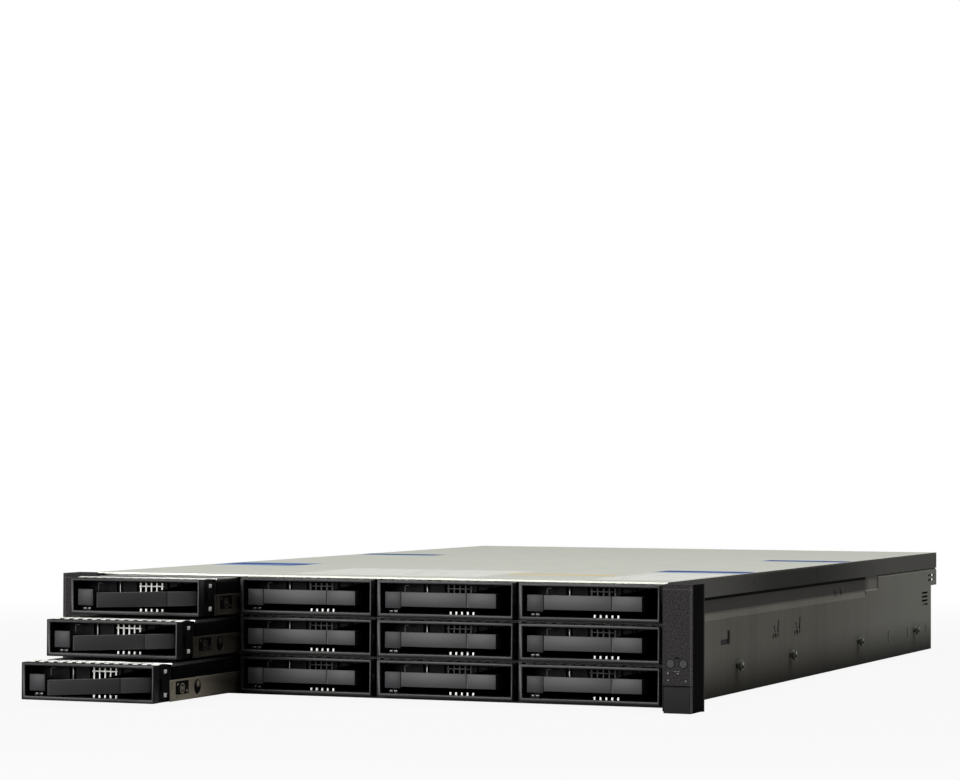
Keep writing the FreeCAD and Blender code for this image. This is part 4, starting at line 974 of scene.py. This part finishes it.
@dataclass
class Shell:
    """Finishes for the frame nodes that are shown as they are, and the small fasteners on them."""

    stud_face: float = 223.9
    wall_face: float = 219.5
    posts: tuple[float, ...] = (-101.75, 4.95, 111.65)
    floors: tuple[float, ...] = (1.2, 29.2, 57.2)
    stud_backs: tuple[float, ...] = (144, 281, 477, 663)
    finishes: tuple[tuple[Finish, str], ...] = (
        (COATED_STEEL, "chassis"), (CAGE_STEEL, "drive_cage"), (COVER_ZINC, "front_cover lid"),
        (BRIGHT_STEEL, "rack_screws"), (STUD_STEEL, "rail_studs"), (SOLDER_MASK, "backplane motherboard"),
        (FAN_BLACK, "fan_housings fan_rotor_1 fan_rotor_2 fan_rotor_3"), (SINK_METAL, "heatsinks"),
        (ZINC, "rear_panel psu_1 psu_2"), (LATCH_GREEN, "psu_latch_1 psu_latch_2"))

    def dress(self, nodes: Mapping[str, bpy.types.Object]) -> None:
        """Gives each node its finish."""
        for finish, names in self.finishes:
            for name in names.split():
                nodes[name].data.materials.clear()
                nodes[name].data.materials.append(finish.material())
                LOG.info("%s is finished in %s", name, finish.name)
        self.fasten()

    def fasten(self) -> None:
        """Clips on the cage posts, dents in the walls, black sheets as painted shade for the wall holes,
        painted shade and glints on the stud heads, and rear screws.
        """
        clips = Form()
        for across in self.posts:
            for floor in self.floors:
                clips.block((across - 0.7, -13.3, floor + 11.5), (across + 0.7, -12.6, floor + 15.0), 0.15)
        clips.piece("cage_clips", BRIGHT_STEEL, "root")
        # painted shade: flat black sheets on and inside the walls stand for holes, slots and the hook
        dents, hole_shades = Form(), Form()
        for side in (-1, 1):
            for back in (410, 427):
                dents.flank(side, 217.4, 219.3, (back, 60.2), (back + 6, 65.4), 0.9)
            hole_shades.flank(side, 216.4, 217.0, (688, 40), (723.5, 82.5))
            hole_shades.flank(side, 214.6, 215.2, (726.5, 60), (744, 80))
            face = side * self.wall_face
            for back in (236.0, 294.0):
                for step, up in ((1.0, 41.6), (2.6, 38.6), (2.6, 35.6), (10.6, 38.0), (10.6, 35.2)):
                    hole_shades.block((face - 0.03, back + step, up), (face + 0.03, back + step + 2.6, up + 2.2), 0)
                hook = [(back + 10.4, 42.0), (back + 12.6, 40.9), (back + 14.6, 47.0), (back + 12.0, 47.6)]
                hole_shades.prism(Axis.X, face - 0.03, 0.06, hook, soft=0)
        dents.piece("ledge_dents", COATED_STEEL, "root")
        hole_shades.piece("wall_hole_shades", DEEP_BLACK, "root")
        # painted shade: a flat black disc on each stud head stands for the shade in its recess, and a small
        # bright disc off its middle is a painted glint
        sockets, pin_glints = Form(), Form()
        for back in self.stud_backs:
            for side in (-1, 1):
                start = min(side * self.stud_face, side * (self.stud_face + 0.05))
                sockets.rod(Axis.X, start, 0.05, (back, 20), 3.0, soft=0)
                pin_glints.rod(Axis.X, side * (self.stud_face + 0.04) - 0.03, 0.06, (back + 0.8, 21), 1.6,
                         soft=0, sides=8)
        sockets.piece("stud_socket_shades", DEEP_BLACK, "root")
        pin_glints.piece("stud_pin_glints", BRIGHT_STEEL, "root")
        rear = Form()
        for across in (-206, -140, -72, 0, 72, 140, 206):
            rear.rod(Axis.Y, 724.6, 1.6, (across, 64.5), 2.8, soft=0.4, sides=16)
            rear.rod(Axis.Y, 726.1, 0.12, (across, 64.5), 1.1, soft=0, sides=6)
        rear.piece("rear_screws", BRIGHT_STEEL, "root")


# ---- studio


@dataclass(frozen=True)
class Softbox:
    """A rectangular lamp, in metres and watts."""

    name: str
    place: Spot
    aim: Spot
    wide: float
    tall: float
    power: float

    def hang(self) -> None:
        """Puts the lamp in the scene."""
        data = bpy.data.lights.new(self.name, "AREA")
        data.shape = "RECTANGLE"
        data.size, data.size_y, data.energy = self.wide, self.tall, self.power
        lamp = show(self.name, data)
        lamp.location = self.place
        lamp.rotation_euler = (Vector(self.aim) - Vector(self.place)).to_track_quat("-Z", "Y").to_euler()


@dataclass
class Studio:
    """Floor, backdrop, lamps and camera, in metres."""

    floor_half: float = 30.0
    floor_fade: Flat = (560.0, 1500.0)
    floor_glow: float = 0.92
    seen_light: float = 0.96
    gloss_light: float = 0.03
    fill_light: float = 0.04
    centre_back: float = 350.0
    camera_place: Spot = (0.9104, -2.0753, 0.1713)
    pan: float = 0.3823
    tilt: float = math.radians(91.17)
    roll: float = 0.0033
    lens: float = 119.7
    lamps: tuple[Softbox, ...] = (
        Softbox("top_softbox", (0.1, 0.4, 2.4), (0.0, 0.2, 0.0), 3.2, 3.2, 92.0),
        Softbox("left_softbox", (-1.15, -2.75, 0.78), (0.0, 0.0, 0.05), 1.9, 1.4, 84.0),
        Softbox("right_softbox", (2.4, 0.2, 1.6), (0.2, 0.3, 0.04), 1.0, 1.0, 2.0),
        Softbox("sheen_strip", (1.6, 3.0, 0.9), (0.2, 0.4, 0.05), 0.8, 1.4, 4.0),
    )

    def build(self, floor_level: float) -> None:
        """Sets the stage, with its floor at the height of the object's lowest point."""
        self.lay_floor(floor_level)
        self.light_world()
        for lamp in self.lamps:
            lamp.hang()
        self.set_camera()
        bpy.context.scene.view_settings.view_transform = "Standard"

    def lay_floor(self, level: float) -> None:
        """A plain pale floor that keeps the object's shadow."""
        data = bpy.data.meshes.new("floor")
        half = self.floor_half
        corners = ((-half, -half), (half, -half), (half, half), (-half, half))
        data.from_pydata([(*corner, level) for corner in corners], [], [(0, 1, 2, 3)])
        floor = show("floor", data)
        surface = Surface("floor_paint")
        surface.feed(surface.shader.inputs["Base Color"], shade(128, 128, 128))
        surface.shader.inputs["Roughness"].default_value = 0.95
        surface.shader.inputs["Specular IOR Level"].default_value = 0.1
        glow = surface.node("ShaderNodeEmission", {"Color": (1, 1, 1, 1), "Strength": 1.0})
        path = surface.node("ShaderNodeLightPath")
        seen = Value(surface, path.outputs["Is Camera Ray"])
        back = surface.y - self.centre_back
        away = surface.x * surface.x + back * back
        far = away.math("SQRT", away).rise(*self.floor_fade)
        share = seen * (far * (1 - self.floor_glow) + self.floor_glow)
        mixed = surface.node("ShaderNodeMixShader",
                             {0: share, 1: surface.shader.outputs[0], 2: glow.outputs[0]})
        output = surface.tree.nodes["Material Output"]
        surface.feed(output.inputs["Surface"], mixed.outputs[0])
        data.materials.append(surface.material)
        floor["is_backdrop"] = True

    def light_world(self) -> None:
        """A white backdrop that lights the object softly."""
        world = bpy.data.worlds.new("backdrop")
        world.use_nodes = True
        bpy.context.scene.world = world
        tree = Tree(world.node_tree)
        path = tree.node("ShaderNodeLightPath")
        seen = Value(tree, path.outputs["Is Camera Ray"])
        gloss = Value(tree, path.outputs["Is Glossy Ray"]) + Value(tree, path.outputs["Is Transmission Ray"])
        strength = seen * self.seen_light + gloss * self.gloss_light + self.fill_light
        back = tree.node("ShaderNodeBackground", {"Color": (1, 1, 1, 1), "Strength": strength})
        tree.node("ShaderNodeOutputWorld", {"Surface": back.outputs[0]})

    def set_camera(self) -> None:
        """Sets the camera."""
        data = bpy.data.cameras.new("camera")
        data.lens, data.sensor_width = self.lens, 36.0
        data.clip_start, data.clip_end = 0.05, 200.0
        camera = show("camera", data)
        camera.matrix_world = (Matrix.Translation(self.camera_place) @ Matrix.Rotation(self.pan, 4, "Z")
                               @ Matrix.Rotation(self.tilt, 4, "X") @ Matrix.Rotation(self.roll, 4, "Z"))
        bpy.context.scene.camera = camera


# ---- main


def measured() -> list[list[float]]:
    """The whole object's box as plain numbers."""
    return [[float(number) for number in corner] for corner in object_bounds()]


def main() -> None:
    """Loads the frame, measures the object's box to set the floor at its lowest point, and builds every
    sub-assembly.
    """
    logging.basicConfig(level=logging.INFO, format="%(name)s: %(message)s")
    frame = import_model()
    before = measured()
    Studio().build(before[0][2])
    limits = {joint["name"]: joint.get("range_deg", [0, 0]) for joint in frame["joints"]}
    Shell().dress(frame["nodes"])
    for number in range(1, 13):
        Carrier(number, -limits[f"lever_{number}_swing"][0]).build()
    Ears().build()


if __name__ == "__main__":
    main()
